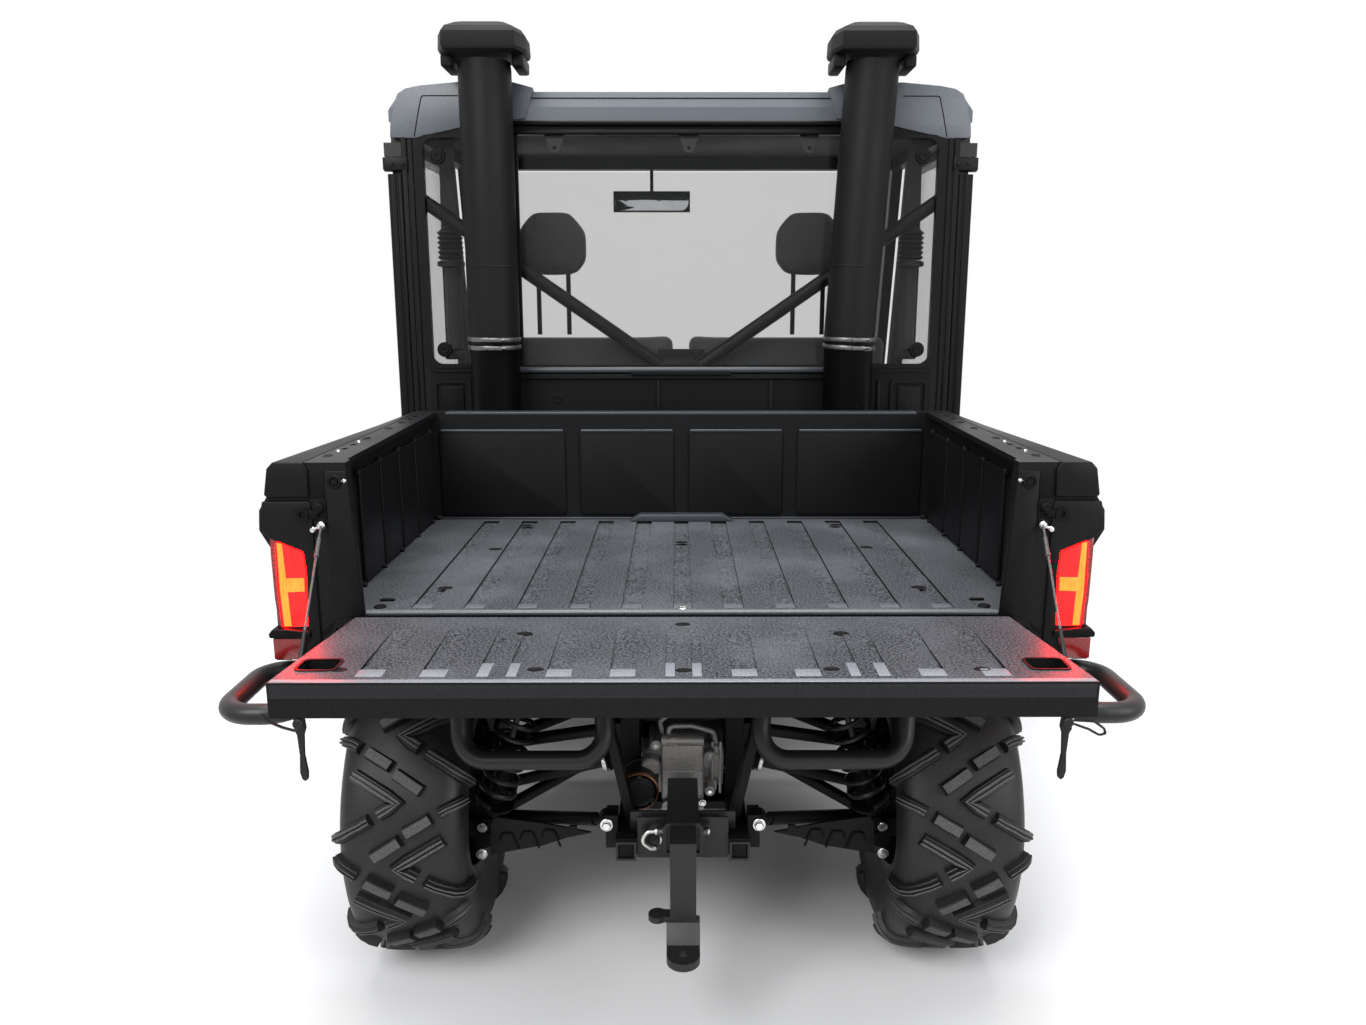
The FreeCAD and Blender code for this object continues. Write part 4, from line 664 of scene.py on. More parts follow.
def make_bed_details():
    """Panels, tabs, lips, drains, rings and screws of the bed's inside."""
    panels = Pile()
    for low, high in FRONT_PANELS:
        panels.add(prism(rounded_rect((low + 6, high - 6), (842.0, 1084.0), 12), "y", (BED_FRONT - 7, BED_FRONT + 1),
                         3.0, 3))
    step = [(-150.0, FLOOR_Z), (-118.0, FLOOR_Z + 20), (118.0, FLOOR_Z + 20), (150.0, FLOOR_Z)]
    panels.make("bed_front_panels", "bed_wall", "bed_plastic", "bed")
    Pile(prism(step, "y", (BED_FRONT - 40, BED_FRONT + 1), 3.0, 3)).make("bed_step", "ledge", "bed_plastic", "bed")
    sides = Pile()
    for rear, front in zip(SIDE_GROOVES[1:], SIDE_GROOVES[:-1]):
        outline = rounded_rect((rear + 7, front - 7), (838.0, 1086.0), 9)
        sides.both(prism(outline, "x", (BED_IN_X - 9, BED_IN_X + 1), 3.0, 3))
    sides.make("bed_side_panels", "bed_wall", "bed_plastic", "bed")
    tabs = Pile()
    for front in SIDE_GROOVES:
        tabs.both(
            box((BED_IN_X - 14, BED_IN_X + 1), (front - 11, front + 7), (1077, 1093), 4.0, 3),
            box((BED_IN_X - 12, BED_IN_X + 1), (front - 7, front + 3), (FLOOR_Z - 1, FLOOR_Z + 9), 3.0, 3)
        )
    tabs.both(
        box((BED_IN_X - 20, BED_IN_X - 2), (BED_FRONT - 16, BED_FRONT + 1), (FLOOR_Z - 1, FLOOR_Z + 12), 4.0, 3)
    ).make("bed_tabs", "bed", "bed_plastic", "bed")
    # The lips' slate-grey colour on the black bed is a painted highlight along the rail, the panel tops and the floor
    # edge
    lips = Pile(
        box((-664, 664), (BED_FRONT - 1, BED_FRONT + 37), (RAIL_Z - 9, RAIL_Z + 0.5), 3.0, 3),
        box((-688, 688), (BED_FRONT - 6, BED_FRONT + 1), (FLOOR_Z - 1, FLOOR_Z + 6), 2.5, 3)
    )
    for low, high in FRONT_PANELS:
        lips.add(box((low + 10, high - 10), (BED_FRONT - 9, BED_FRONT + 1), (1080, 1088), 3.0, 3))
    lips.make("bed_lips", "ledge", "bed_plastic", "bed")
    # The seam's lighter colour is a painted highlight along it
    Pile(
        prism([(BED_REAR - 1, FLOOR_Z - 6), (BED_REAR - 3, FLOOR_Z), (BED_REAR + 2, FLOOR_Z + 4), (BED_REAR + 9,
              FLOOR_Z + 4), (BED_REAR + 15, FLOOR_Z - 1)], "x", (-640, 640), 1.5, 3)
    ).make("bed_seam", "pad", "bed_plastic", "bed")
    # The floor pads' lighter colour is painted light from above, as on the floor
    pads = Pile()
    for x0, x1 in FLOOR_GROOVES:
        pad = box((x0 + 1, x1 - 1), (BED_REAR + 32, BED_REAR + 62), (FLOOR_Z - 7, FLOOR_Z - 0.5), 1.5)
        pads.add(pad, *([mirror(pad)] if x0 > 0 else []))
    pads.make("floor_pads", "pad", "bed_plastic", "bed")
    # The drains and the small dishes on the rails are black dishes, not holes: painted shade
    drains = Pile()
    for x, y in FLOOR_DRAINS:
        drains.add(dish(x, y, FLOOR_Z))
    for x, y in ((724, -110), (722, 150), (722, 330), (722, 450), (722, 660)):
        for side in (1, -1):
            drains.add(dish(side * x, y, RAIL_Z, 9.0, 17.0))
    drains.make("bed_drains", "black", "bed_plastic", "bed")
    Pile().both(
        lathe([(0, 13), (3, 12), (4, 8), (4, 0)], (622, -160, FLOOR_Z), UP, 24),
        box((604, 634), (-120, -112), (FLOOR_Z - 0.5, FLOOR_Z + 5), 1.5)
    ).make("bed_tie_rings", "black", "bed_plastic", "bed")
    screws = Pile(bolt((0, BED_REAR + 26, FLOOR_Z), UP, 7.0))
    for y in RAIL_BOLTS:
        screws.both(bolt((722, y, RAIL_Z), UP, 3.6))
    screws.make("bed_screws", "zinc", "bed_plastic", "bed")


POST_FACE = BED_REAR
CAP_REAR = ((737, 1068), (735, 1122), (745, 1137), (803, 1137), (815, 1124), (824, 1072), (820, 1068))
CAP_FRONT = ((733, 1068), (733, 1122), (736, 1137), (748, 1137), (757, 1124), (766, 1072), (764, 1068))
CORNER_FACE = (
    # round the lamp: over it to the outer edge, and down its inner side
    (737, 1059), (829, 1059), (838, 1022), (839, 1002), (819, 984), (808, 980), (755, 957), (752, 914), (757, 803),
    (753, 778), (757, 756), (733, 770), (733, 1045),
)
LENS = ((758, 803), (754, 914), (757, 955), (807, 977), (812, 885), (809, 800))
LENS_SIDE = ((810, 799), (816.5, 803), (820.5, 860), (821.0, 950), (820.5, 984), (808, 979), (813, 885))
LAMP_TALL = ((797, 973), (807, 975), (808, 873), (805, 802), (791, 802), (793, 873))
LAMP_CROSS = ((759, 875), (797, 873), (797, 902), (758, 903))
LAMP_LEDGE = ((752, 778), (752, 792), (801, 797), (828, 797), (837, 787), (835, 778))
REFLECTOR = ((763, 776), (830, 776), (830, 732), (778, 731))
POST_PLATE = ((704, 1119), (662, 1119), (643, 824), (700, 814), (703, 896))


def make_corners():
    """Rear corners: caps, the face round the lamp, latch parts, dark plates painted as shade, cable studs, lenses and
    lit bars.
    """
    out = POST_FACE - 6
    Pile().both(
        prism(CAP_REAR, "y", (out, 640.0), 3.0, 3, far=CAP_FRONT),
        prism(CORNER_FACE, "y", (out, POST_FACE + 3), 2.5, 3),
        prism(POST_PLATE, "y", (POST_FACE - 2.5, POST_FACE + 3), 2.0, 3)
    ).make("corner_caps", "bed_wall", "bed_plastic", "bed")
    Pile().both(
        # Painted shade: dark plates for the shadow in the gap under the cap, in the channel by the post and in the
        # pocket; the ring, block and knob after them are latch parts
        box((738, 815), (POST_FACE - 1.5, POST_FACE + 30), (1058, 1069), 0.5),
        box((705, 736), (POST_FACE - 1.0, POST_FACE + 6), (1062, 1119), 1.0),
        prism(rounded_rect((704, 737), (1020, 1064), 6), "y", (POST_FACE - 3.0, POST_FACE + 6), 1.5),
        ring_plate(rounded_rect((738, 762), (1022, 1046), 5), rounded_rect((744, 756), (1028, 1040), 4), "y",
                   (POST_FACE - 12, POST_FACE - 4)),
        box((720, 744), (POST_FACE - 10, POST_FACE - 2), (1026, 1042), 3.0),
        lathe([(0, 12), (6, 11), (9, 7), (9, 0)], (719, POST_FACE - 3, 1046), BACK, 20),
        prism([(704, 812), (732, 790), (732, 779), (712, 790)], "y", (POST_FACE - 1.5, POST_FACE + 6), 1.0)
    ).make("latch_parts_and_painted_shade", "black", "bed_plastic", "bed")
    Pile().both(
        lathe([(0, 14), (3, 14), (4.5, 12.5), (4.5, 9.5), (1.5, 9), (1.5, 7), (3.5, 6), (3.5, 0)], (684,
              POST_FACE - 2, 1098), BACK, 32)
    ).make("post_rings", "trim", "bed_plastic", "bed")
    Pile().both(
        lathe([(0, 4.5), (3, 4), (4.5, 2), (4.5, 0)], (665, POST_FACE - 1, 1100), BACK, 14),
        box((668, 674), (POST_FACE - 4, POST_FACE), (1098, 1101), 1.0)
    ).make("post_pins", "zinc", "bed_plastic", "bed")
    stud = Pile()
    for x, z, r in ((715, 1011, 8.5), (731, 1003, 6.5)):
        stud.both(lathe([(0, r * 0.5), (3, r), (8, r), (11, r * 0.7), (12, 0)], (x, POST_FACE - 3, z), BACK, 20))
    stud.both(tube([(715, POST_FACE - 8, 1011), (731, POST_FACE - 8, 1003)], 3.5, 12)).make(
        "cable_studs", "zinc", "cable_steel", "bed"
    )
    Pile().both(prism(LENS, "y", (POST_FACE - 4, POST_FACE + 6), 1.5)).make("lamp_lenses", "red", "lamp_red", "bed")
    bars = Pile()
    y = (POST_FACE - 4.8, POST_FACE - 3.0)
    bars.both(prism(LAMP_TALL, "y", y, 0.6), prism(LAMP_CROSS, "y", (y[0] - 0.2, y[1]), 0.6)).make(
        "lamp_bars", "amber", "lamp_red", "bed"
    )
    Pile().both(prism(LAMP_LEDGE, "y", (POST_FACE - 12, POST_FACE + 60), 3.0, 3)).make(
        "lamp_ledges", "panel", "bed_plastic", "bed")
    Pile().both(
        prism(REFLECTOR, "y", (POST_FACE - 7, POST_FACE + 3), 1.5),
        prism(LENS_SIDE, "y", (POST_FACE - 3, POST_FACE + 45), 0.4)
    ).make("reflectors", "reflector", "lamp_red", "bed")


# Tailgate
GATE_TOP = FLOOR_Z
GATE_END = -582.0
STRAP_Y = -575.0
GATE_HOLES = ((-590.0, -520.0), (-254.0, -520.0), (-300.0, -330.0), (0.0, -275.0), (0.0, -525.0), (254.0, -520.0),
              (300.0, -330.0), (512.0, -522.0))
GATE_GROOVES = ((14.0, 32.0), (81.0, 126.0), (189.0, 234.0), (282.0, 301.0), (329.0, 351.0), (401.0, 447.0),
                (508.0, 555.0))


def make_gate_details():
    """Edge, lip, drains, slot rims, pads and the ribs below the tailgate."""
    Pile(
        box((-688, 688), (GATE_END - 0.2, GATE_END + 6), (800.5, 827), 2.0),
        box((-686, 686), (GATE_END + 0.4, GATE_END + 4), (767, 798.5), 1.5)
    ).make("gate_edge", "edge", "bed_plastic", "tailgate")
    # The light line along the gate's top edge is a painted highlight
    Pile(
        prism([(GATE_END - 0.2, 825), (GATE_END + 3, 829.8), (GATE_END + 16, 829.8), (GATE_END + 19, 827)], "x",
              (-688, 688), 1.0, 3)
    ).make("gate_lip", "painted_highlight", "bed_plastic", "tailgate")
    # Black dishes for the gate's holes: painted shade
    drains = Pile()
    for x, y in GATE_HOLES:
        drains.add(dish(x, y, GATE_TOP, 15, 10))
    drains.make("gate_drains", "black", "bed_plastic", "tailgate")
    slots = Pile()
    for side in (1, -1):
        x = sorted((side * 594.0, side * 668.0))
        outer = rounded_rect(x, (-528.0, -468.0), 14)
        inner = rounded_rect((x[0] + 5, x[1] - 5), (-523.0, -473.0), 10)
        slots.add(ring_plate(outer, inner, "z", (GATE_TOP - 1.0, GATE_TOP + 2.0)))
    slots.make("gate_slot_rims", "trim", "bed_plastic", "tailgate")
    # The gate pads' lighter colour is a painted highlight on their tops
    pads = Pile()
    for x0, x1 in GATE_GROOVES:
        long = 34.0 if x1 - x0 > 30 else 64.0
        pads.both(box((x0 + 0.5, x1 - 0.5), (-553, -553 + long), (GATE_TOP - 7, GATE_TOP + 0.6), 1.2))
    pads.make("gate_pads", "painted_highlight", "bed_plastic", "tailgate")
    under = Pile()
    for x in (-520, -260, 0, 260, 520):
        under.add(box((x - 14, x + 14), (-560, -262), (762, 768), 2.0))
    under.make("gate_ribs", "trim", "bed_plastic", "tailgate")


def make_cables():
    """Stay cables: a swaged end and eye above, a sleeve below."""
    high = np.array((714.0, POST_FACE - 6, 1017.0))
    low = np.array((689.6, -436.0, 808.0))
    run = low - high
    wires = Pile().both(
        tube([high, high + run * 0.5, low], 2.5, 12),
        tube([high + run * 0.12, high + run * 0.18, high + run * 0.24], 4.2, 12),
        tube([high + run * 0.24, high + run * 0.26], 4.8, 12)
    ).make("stay_cables", "cable", "cable_steel", "bed")
    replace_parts(wires, "tailgate_cables")
    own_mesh(wires)
    cover = Pile().both(tube([high + run * 0.78, high + run * 0.86, low], [3.2, 3.8, 5.0], 14)).make(
        "stay_sleeves", "boot", "strap_rubber", "bed"
    )
    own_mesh(cover)


def make_straps():
    """Rubber hold-down straps that hang from the gate, with a loop and a cord."""
    pile = Pile()
    outline = [(634, 766), (652, 766), (652, 744), (648, 736), (646, 700), (648, 668), (645, 656), (640, 652),
               (635, 656), (634, 668), (638, 700), (636, 736), (632, 748)]
    straps = pile.both(
        prism(outline, "y", (-579.5, -572.0), 1.5),
        lathe([(0, 9), (5, 9), (7, 7), (7, 0)], (643, -579, 757), BACK, 20)
    ).make("gate_straps", "boot", "strap_rubber", "tailgate")
    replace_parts(straps, "tailgate_straps")
    loop = Pile()
    path = rounded_path([(x, STRAP_Y, z) for x, z in ((655, 758), (690, 756), (712, 740), (706, 728), (682, 742),
                                                      (655, 752))], 10, 5)
    loop.add(tube(path, 2.2, 8))
    cord = rounded_path([(x, STRAP_Y, z) for x, z in ((-652, 742), (-672, 748), (-694, 758), (-706, 772))], 16, 5)
    loop.add(tube(cord, 2.6, 8)).make("strap_loops", "boot", "strap_rubber", "tailgate")


# Tyres
TREAD_R = 343.0
LUG_H = 17.0
HALF_PERIODS = 16
CARCASS = (
    # half width share, radius share of the tread radius, up one side from the bead to the crown
    (0.372, 0.530), (0.395, 0.570), (0.455, 0.655), (0.488, 0.745), (0.484, 0.835), (0.450, 0.893), (0.400, 0.925),
    (0.300, 0.944), (0.150, 0.9505), (0.0, 0.9515),
)
LUGS = (
    # points along the lug's middle as (across, along) in mm from the period's start, width, grooved
    (((90, 54), (44, 26), (-2, -2), (36, -25)), 25.0, True),
    (((54, -37), (88, -58), (120, -80), (140, -88), (158, -94)), 23.0, True),
    (((-66, -34), (-42, -49), (-18, -63)), 22.0, False),
    (((-6, -79), (20, -96), (46, -113)), 22.0, False),
    (((-84, -24), (-112, -8), (-134, 2)), 22.0, True),
)


def carcass_curve(width):
    """Points of the carcass across its whole width and the length along them from the crown."""
    side = np.array([(share * width, level * TREAD_R) for share, level in CARCASS])
    right = side[::-1]
    left = side * (-1.0, 1.0)
    curve = np.vstack((left[:-1], right))
    step = np.linalg.norm(np.diff(curve, axis=0), axis=1)
    length = np.concatenate(((0.0,), np.cumsum(step)))
    return curve, length - length[len(left) - 1]


def on_carcass(width, s):
    """Place (x, r) and outward normal at arc length s from the crown, by linear interpolation."""
    curve, length = carcass_curve(width)
    x = np.interp(s, length, curve[:, 0])
    r = np.interp(s, length, curve[:, 1])
    dx = np.interp(s + 4, length, curve[:, 0]) - np.interp(s - 4, length, curve[:, 0])
    dr = np.interp(s + 4, length, curve[:, 1]) - np.interp(s - 4, length, curve[:, 1])
    size = np.hypot(dx, dr) + 1e-9
    return x, r, -dr / size, dx / size


def wheel_points(width, s, v, h):
    """(x, y, z) about the axle: radius r(s) + h n_r at angle v / R, offset x(s) + h n_x."""
    x, r, nx, nr = on_carcass(width, s)
    radius = np.minimum(r + h * nr, TREAD_R - 0.4)
    angle = v / TREAD_R
    return np.column_stack((x + h * nx, radius * np.sin(angle), radius * np.cos(angle)))


def lug_shape(width, path, wide, grooved, flip, shift):
    """Strip lug with sloped flanks, chamfered top edges and, if grooved, a slot along it."""
    path = np.array(path, dtype=float) * (width / 262.0 if width < 250 else 1.0, 1.0)
    dense = []
    for a, b in zip(path[:-1], path[1:]):
        dense += [a + (b - a) * t for t in (0.0, 0.5)]
    dense = np.array(dense + [path[-1]])
    run = np.gradient(dense, axis=0)
    run = run / np.linalg.norm(run, axis=1, keepdims=True)
    side = np.column_stack((-run[:, 1], run[:, 0]))
    half = wide / 2
    if grooved:
        section = [(-half - 3, -2), (-half, LUG_H - 7), (-half + 1.5, LUG_H - 5.5), (-half + 4, LUG_H - 5.5),
                   (-half + 5.5, LUG_H), (-2.0, LUG_H), (-1.2, LUG_H - 4), (1.2, LUG_H - 4), (2.0, LUG_H),
                   (half - 5.5, LUG_H), (half - 4, LUG_H - 5.5), (half - 1.5, LUG_H - 5.5), (half, LUG_H - 7),
                   (half + 3, -2)]
    else:
        section = [(-half - 3, -2), (-half, LUG_H - 2), (-half + 2, LUG_H), (half - 2, LUG_H), (half, LUG_H - 2),
                   (half + 3, -2)]
    section = np.array(section)
    rows = []
    last = len(dense) - 1
    for k, (spot, across) in enumerate(zip(dense, side)):
        place = spot + np.outer(section[:, 0], across)
        pull = -3.0 if k == 0 else 3.0 if k == last else 0.0
        low = section[:, 1] < LUG_H - 8
        place = place + np.outer(np.where(low, pull, 0.0), run[k])
        u, v = place[:, 0] * flip, place[:, 1] + shift
        rows.append(wheel_points(width, u, v, section[:, 1]))
    n = len(section)
    points = np.vstack(rows)
    faces = []
    for k in range(last):
        for i in range(n - 1):
            quad = (k * n + i, k * n + i + 1, (k + 1) * n + i + 1, (k + 1) * n + i)
            faces.append(quad if flip < 0 else tuple(reversed(quad)))
    cap = tuple(range(n))
    end = tuple(last * n + i for i in range(n))
    faces.append(tuple(reversed(cap)) if flip < 0 else cap)
    faces.append(end if flip < 0 else tuple(reversed(end)))
    tops = [(a, b) for a, b in zip(range(n - 1), range(1, n)) if section[a, 1] == section[b, 1] == LUG_H]
    return points, faces, tops, n, last


def tyre_shapes(width):
    """Carcass and lugs about an axle at the origin, and the thin pale caps on the lugs."""
    curve, _ = carcass_curve(width)
    segments = 128
    turn = np.arange(segments) * 2 * math.pi / segments
    inner = [(curve[-1, 0] - 8, TREAD_R * 0.525), (curve[0, 0] + 8, TREAD_R * 0.525)]
    profile = np.vstack((curve, inner))
    points = np.vstack([np.column_stack((np.full(segments, x), r * np.sin(turn), r * np.cos(turn)))
                        for x, r in profile])
    body = Pile((points, [(a, d, c, b) for a, b, c, d in skin(len(profile), segments, True)]))
    caps = Pile()
    pitch = 2 * math.pi * TREAD_R / HALF_PERIODS
    for period in range(HALF_PERIODS):
        flip = 1.0 if period % 2 else -1.0
        for path, wide, grooved in LUGS:
            shape, lug_faces, tops, count, last = lug_shape(width, path, wide, grooved, flip, period * pitch)
            body.add((shape, lug_faces))
            for a, b in tops:
                cap_faces = []
                for k in range(last):
                    quad = (2 * k, 2 * k + 1, 2 * k + 3, 2 * k + 2)
                    cap_faces.append(quad if flip < 0 else tuple(reversed(quad)))
                strip = np.vstack([shape[[k * count + a, k * count + b]] for k in range(last + 1)])
                radius = np.hypot(strip[:, 1], strip[:, 2])
                grow = (np.minimum(radius + 0.35, TREAD_R) / radius)[:, None]
                strip = strip * np.column_stack((np.ones(len(strip)), grow, grow))
                caps.add((strip, cap_faces))
    return body, caps


WHEELS = (
    # name, side, station, tyre width
    ("rl", -1.0, 0.0, 262.0),
    ("rr", 1.0, 0.0, 262.0),
    ("fl", -1.0, WHEELBASE, 229.0),
    ("fr", 1.0, WHEELBASE, 229.0),
)
WHEEL_X = 569.0


def placed(pile, move, side):
    """The pile as one shape, moved to an axle and mirrored on the left."""
    points, faces = sided(pile.shape(), side)
    return np.asarray(points) + move, faces


def make_tyres():
    """Tyres with their treads, and thin caps of a lighter colour on the lug tops."""
    made = {}
    for name, side, station, width in WHEELS:
        if width not in made:
            made[width] = tyre_shapes(width)
        body, caps = made[width]
        move = np.array((side * WHEEL_X, station, AXLE_Z))
        piece = Pile(placed(body, move, side)).make("tread_" + name, "rubber", "tyre", "wheel_" + name, 28)
        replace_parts(piece, "tyre_" + name)
        Pile(placed(caps, move, side)).make("tread_caps_" + name, "lug", "tyre", "wheel_" + name, 28)


def make_wheel_details():
    """Lug nuts and hub caps on the outer side; brake discs inside."""
    for name, side, station, _ in WHEELS:
        nuts = Pile()
        for k in range(4):
            a = math.pi / 4 + k * math.pi / 2
            spot = (WHEEL_X + 86, station + 45 * math.sin(a), AXLE_Z + 45 * math.cos(a))
            nuts.add(lathe([(-1, 9), (4, 9), (12, 8), (15, 6), (16, 0)], spot, RIGHT, 6))
        cap = Pile(lathe([(-1, 30), (6, 30), (10, 27), (12, 20), (12, 0)], (WHEEL_X + 86, station, AXLE_Z), RIGHT, 40))
        reach, place = (118, 56) if station == 0.0 else (100, 46)
        outline = [(0, reach), (5, reach), (5, 70), (12, 62), (12, 40), (0, 40)]
        disc = Pile(lathe(outline, (WHEEL_X - place, station, AXLE_Z), RIGHT, 56))
        for pile, label, material in ((nuts, "nuts", "zinc"), (cap, "cap", "rim"), (disc, "disc", "grey_steel")):
            Pile(sided(pile.shape(), side)).make("wheel_" + label + "_" + name, material, "rim_black",
                                                 "wheel_" + name)


# Suspension, drivetrain and hitch
def damper(low, high, spring_r):
    """Shapes of a damper body, its shaft, seats and eyes between two eyes."""
    low, high = np.asarray(low, dtype=float), np.asarray(high, dtype=float)
    along = (high - low) / np.linalg.norm(high - low)
    length = np.linalg.norm(high - low)
    body = [lathe([(0, 20), (length * 0.42, 20), (length * 0.43, 24), (length * 0.45, 24)], low + along * 26, along,
                  28),
            lathe([(0, spring_r - 4), (5, spring_r), (9, spring_r), (10, 24)], low + along * 46, along, 36),
            lathe([(0, 24), (3, spring_r), (8, spring_r), (10, spring_r - 6)], high - along * 42, along, 36),
            lathe([(0, 13), (30, 13), (34, 9)], high - along * 42, along, 20)]
    for eye in (low, high):
        body += [lathe([(-12, 16), (12, 16)], eye, AHEAD, 24), lathe([(-13, 9), (13, 9)], eye, AHEAD, 20)]
    shaft = lathe([(0, 7), (length - 60, 7)], low + along * 30, along, 16)
    coil = spring(low + along * 56, high - along * 46, spring_r - 6, 6.2, 8.5)
    return body, shaft, coil


def make_shocks():
    """Dampers and coil springs, a rear and a front one on each side."""
    body, shafts, coils = Pile(), Pile(), Pile()
    for low, high, radius in (((432, -100, 311.3), (322, -100, 683.7), 46.0),
                              ((345, WHEELBASE, 508), (262, WHEELBASE - 65, 763.7), 44.0)):
        bodies, shaft, coil = damper(low, high, radius)
        body.both(*bodies)
        shafts.both(shaft)
        coils.both(coil)
    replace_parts(body.make("damper_bodies", "steel", "spring_black"), "shocks")
    shafts.make("damper_shafts", "grey_steel", "spring_black")
    coils.make("coil_springs", "bumper", "spring_black")


def make_suspension_details():
    """Arm bolts, the pressed ribs of the arm guards, and the half shafts' boots with their bands."""
    Pile().both(
        bolt((434, -171, 276), BACK, 9.0), bolt((157, -254, 390), BACK, 10.0), bolt((441, -122, 311), BACK, 8.0),
        bolt((157, -88, 520), BACK, 8.0), bolt((157, WHEELBASE - 172, 370), BACK, 9.0),
        bolt((157, WHEELBASE + 172, 370), AHEAD, 9.0)
    ).make("arm_bolts", "zinc", "frame_steel")
    guards = Pile()
    for x, z in ((262, 300), (308, 296), (352, 293)):
        rib = rounded_path([(x, -181, z), (x + 14, -181, z + 36), (x + 34, -181, z + 36), (x + 40, -181, z + 20)], 6, 4)
        guards.both(tube(rib, 2.6, 8))
    guards.make("guard_ribs", "trim", "frame_steel")
    start, end = np.array((94.5, 0.0, 430.0)), np.array((461.0, 0.0, 343.0))
    along = (end - start) / np.linalg.norm(end - start)
    profile = []
    for k in range(6):
        r = 39 - 3.4 * k
        profile += [(4 + 13 * k, r), (8 + 13 * k, r + 3), (12 + 13 * k, r - 4)]
    profile = [(h, max(r, 13.5)) for h, r in profile]
    boots = Pile()
    for origin, way in ((start, 1.0), (end, -1.0)):
        boots.both(lathe(profile, origin + along * way * 2, along * way, 32))
    boots.make("shaft_boots", "boot", "shaft_steel")
    Pile().both(
        lathe([(0, 22), (0, 23.5), (8, 23.5), (8, 22)], start + along * 82, along, 28),
        lathe([(0, 43), (0, 44.5), (9, 44.5), (9, 43)], start + along * 4, along, 32)
    ).make("boot_bands", "zinc", "shaft_steel")


def make_drivetrain():
    """Ribs, covers, bolts and pipes of the rear gearbox, and the actuator's can."""
    cast = Pile(
        box((-47, 47), (-104, -88), (366, 512), 6.0, 3), box((-46, 46), (-112, -100), (500, 514), 5.0, 3),
        box((-46, 46), (-112, -100), (352, 366), 5.0, 3), box((-44, 44), (-106, -100), (432, 436), 1.5)
    )
    for x in (44, 66, 84):
        cast.add(box((x - 3, x + 3), (-78, 30), (368, 492), 2.0))
    cast.add(
        lathe([(0, 62), (4, 66), (10, 66), (14, 58), (22, 50), (22, 0)], (70, 0, 430), RIGHT, 48),
        lathe([(0, 20), (30, 20), (34, 16), (34, 0)], (-70, -96, 455), BACK, 28)
    )
    for x, z in ((-58, 500), (-20, 508), (60, 474), (60, 392), (-34, 358)):
        cast.add(lathe([(0, 12), (26, 12), (28, 10), (28, 0)], (x, -86, z), BACK, 20))
    cast.make("gearbox_castings", "cast", "cast_aluminium", angle=28)
    zinc = Pile()
    for x, z in ((-58, 500), (60, 474), (60, 392), (44, 364)):
        zinc.add(bolt((x, -112, z), BACK, 6.0))
    zinc.make("gearbox_bolts", "zinc", "cast_aluminium")
    pipe = Pile()
    route = rounded_path([(-30, -96, 520), (-30, -96, 538), (20, -90, 536), (66, -84, 520), (74, -70, 488)], 12, 6)
    pipe.add(
        tube(route, 6.0, 14),
        tube(rounded_path([(-44, -90, 522), (-50, -100, 552), (-20, -110, 575), (-16, -90, 620)], 18, 6), 5.0, 12)
    ).make("gearbox_pipes", "cast", "cast_aluminium")
    can = Pile()
    centre = np.array((-93, -160, 419))
    can.add(
        lathe([(-66, 36), (-60, 40), (4, 41), (8, 39), (8, 34)], centre, BACK, 48),
        lathe([(8, 34), (9, 31), (13, 30), (14, 26), (12.5, 24), (12.5, 0)], centre, BACK, 48)
    )
    for angle in (90, 210, 330):
        a = math.radians(angle)
        can.add(lathe([(6, 7), (14, 7), (15, 5), (15, 0)], centre + (33 * math.cos(a), 0, 33 * math.sin(a)),
                      BACK, 16))
    can.make("actuator_can", "boot", "cast_aluminium")
    Pile(lathe([(0, 41.6), (3, 42.4), (9, 42.2), (11, 40)], centre + (0, 3, 0), BACK, 48)).make(
        "actuator_rim", "copper", "cast_aluminium"
    )


def make_hitch_details():
    """Collar of the receiver, the open ends of the rails, the pin with its loop and the drawbar's worn ramp."""
    outer = [(-40, 374), (40, 374), (40, 432), (32, 441), (-32, 441), (-40, 432)]
    inner = [(-32.5, 377), (32.5, 377), (32.5, 430), (28, 437.2), (-28, 437.2), (-32.5, 430)]
    steel = Pile(ring_plate(outer, inner, "y", (-341, -326)))
    dark = Pile()
    for x in (-115, 115):
        square, hole = ([(x - h, 358 - h), (x + h, 358 - h), (x + h, 358 + h), (x - h, 358 + h)] for h in (20.5, 16))
        steel.add(ring_plate(square, hole, "y", (-303, -296)))
        # The first block fills each open rail end: painted shade of the tube's inside
        dark.add(
            box((x - 14.6, x + 14.6), (-300, -286), (343.4, 372.6), 2.0),
            box((x - 22, x + 22), (-300, -270), (378.4, 384), 2.0)
        )
    steel.add(box((-108, 108), (-262, -254), (384, 424), 2.0)).make("hitch_plates", "bumper", "bumper_steel")
    dark.make("rail_end_shade", "trim", "frame_steel")
    pin = Pile(lathe([(-56, 7.6), (-54, 8), (52, 8), (54, 6.5)], (0, -305, 405), RIGHT, 28))
    path = rounded_path([(-52, -305, 405), (-72, -306, 404), (-84, -309, 384), (-62, -307, 366), (-42, -303, 372),
                         (-43, -303, 396)], 12, 7)
    pin.add(tube(path, 4.4, 14)).make("hitch_pin", "silver", "drawbar_steel")
    plate = Pile()
    slope = [(-375.5, 263), (-381, 263.6), (-401.2, 263.4), (-427, 231.6), (-424, 230.4), (-400, 261), (-376, 261)]
    plate.add(prism(slope, "x", (-32.5, 32.5), 0.6)).make("drawbar_ramp", "grey_steel", "drawbar_steel")
    Pile(box((-17, 17), (-343, -341), (384, 402), 1.0)).make("blank_plate", "trim", "bumper_steel")


# Cab
PANEL_Y = 886.0
LOBE = ((440, 1946), (416, 2029), (474, 2044), (628, 2044), (733, 2035), (775, 2027), (798, 2013), (812, 1982),
        (822, 1942), (826, 1895), (758, 1893), (628, 1921), (560, 1938))
LOBE_FAR = ((440, 1950), (416, 2010), (474, 2016), (628, 2016), (733, 2014), (775, 2010), (796, 2004), (808, 1982),
            (818, 1946), (822, 1942), (758, 1941), (628, 1941), (560, 1941))


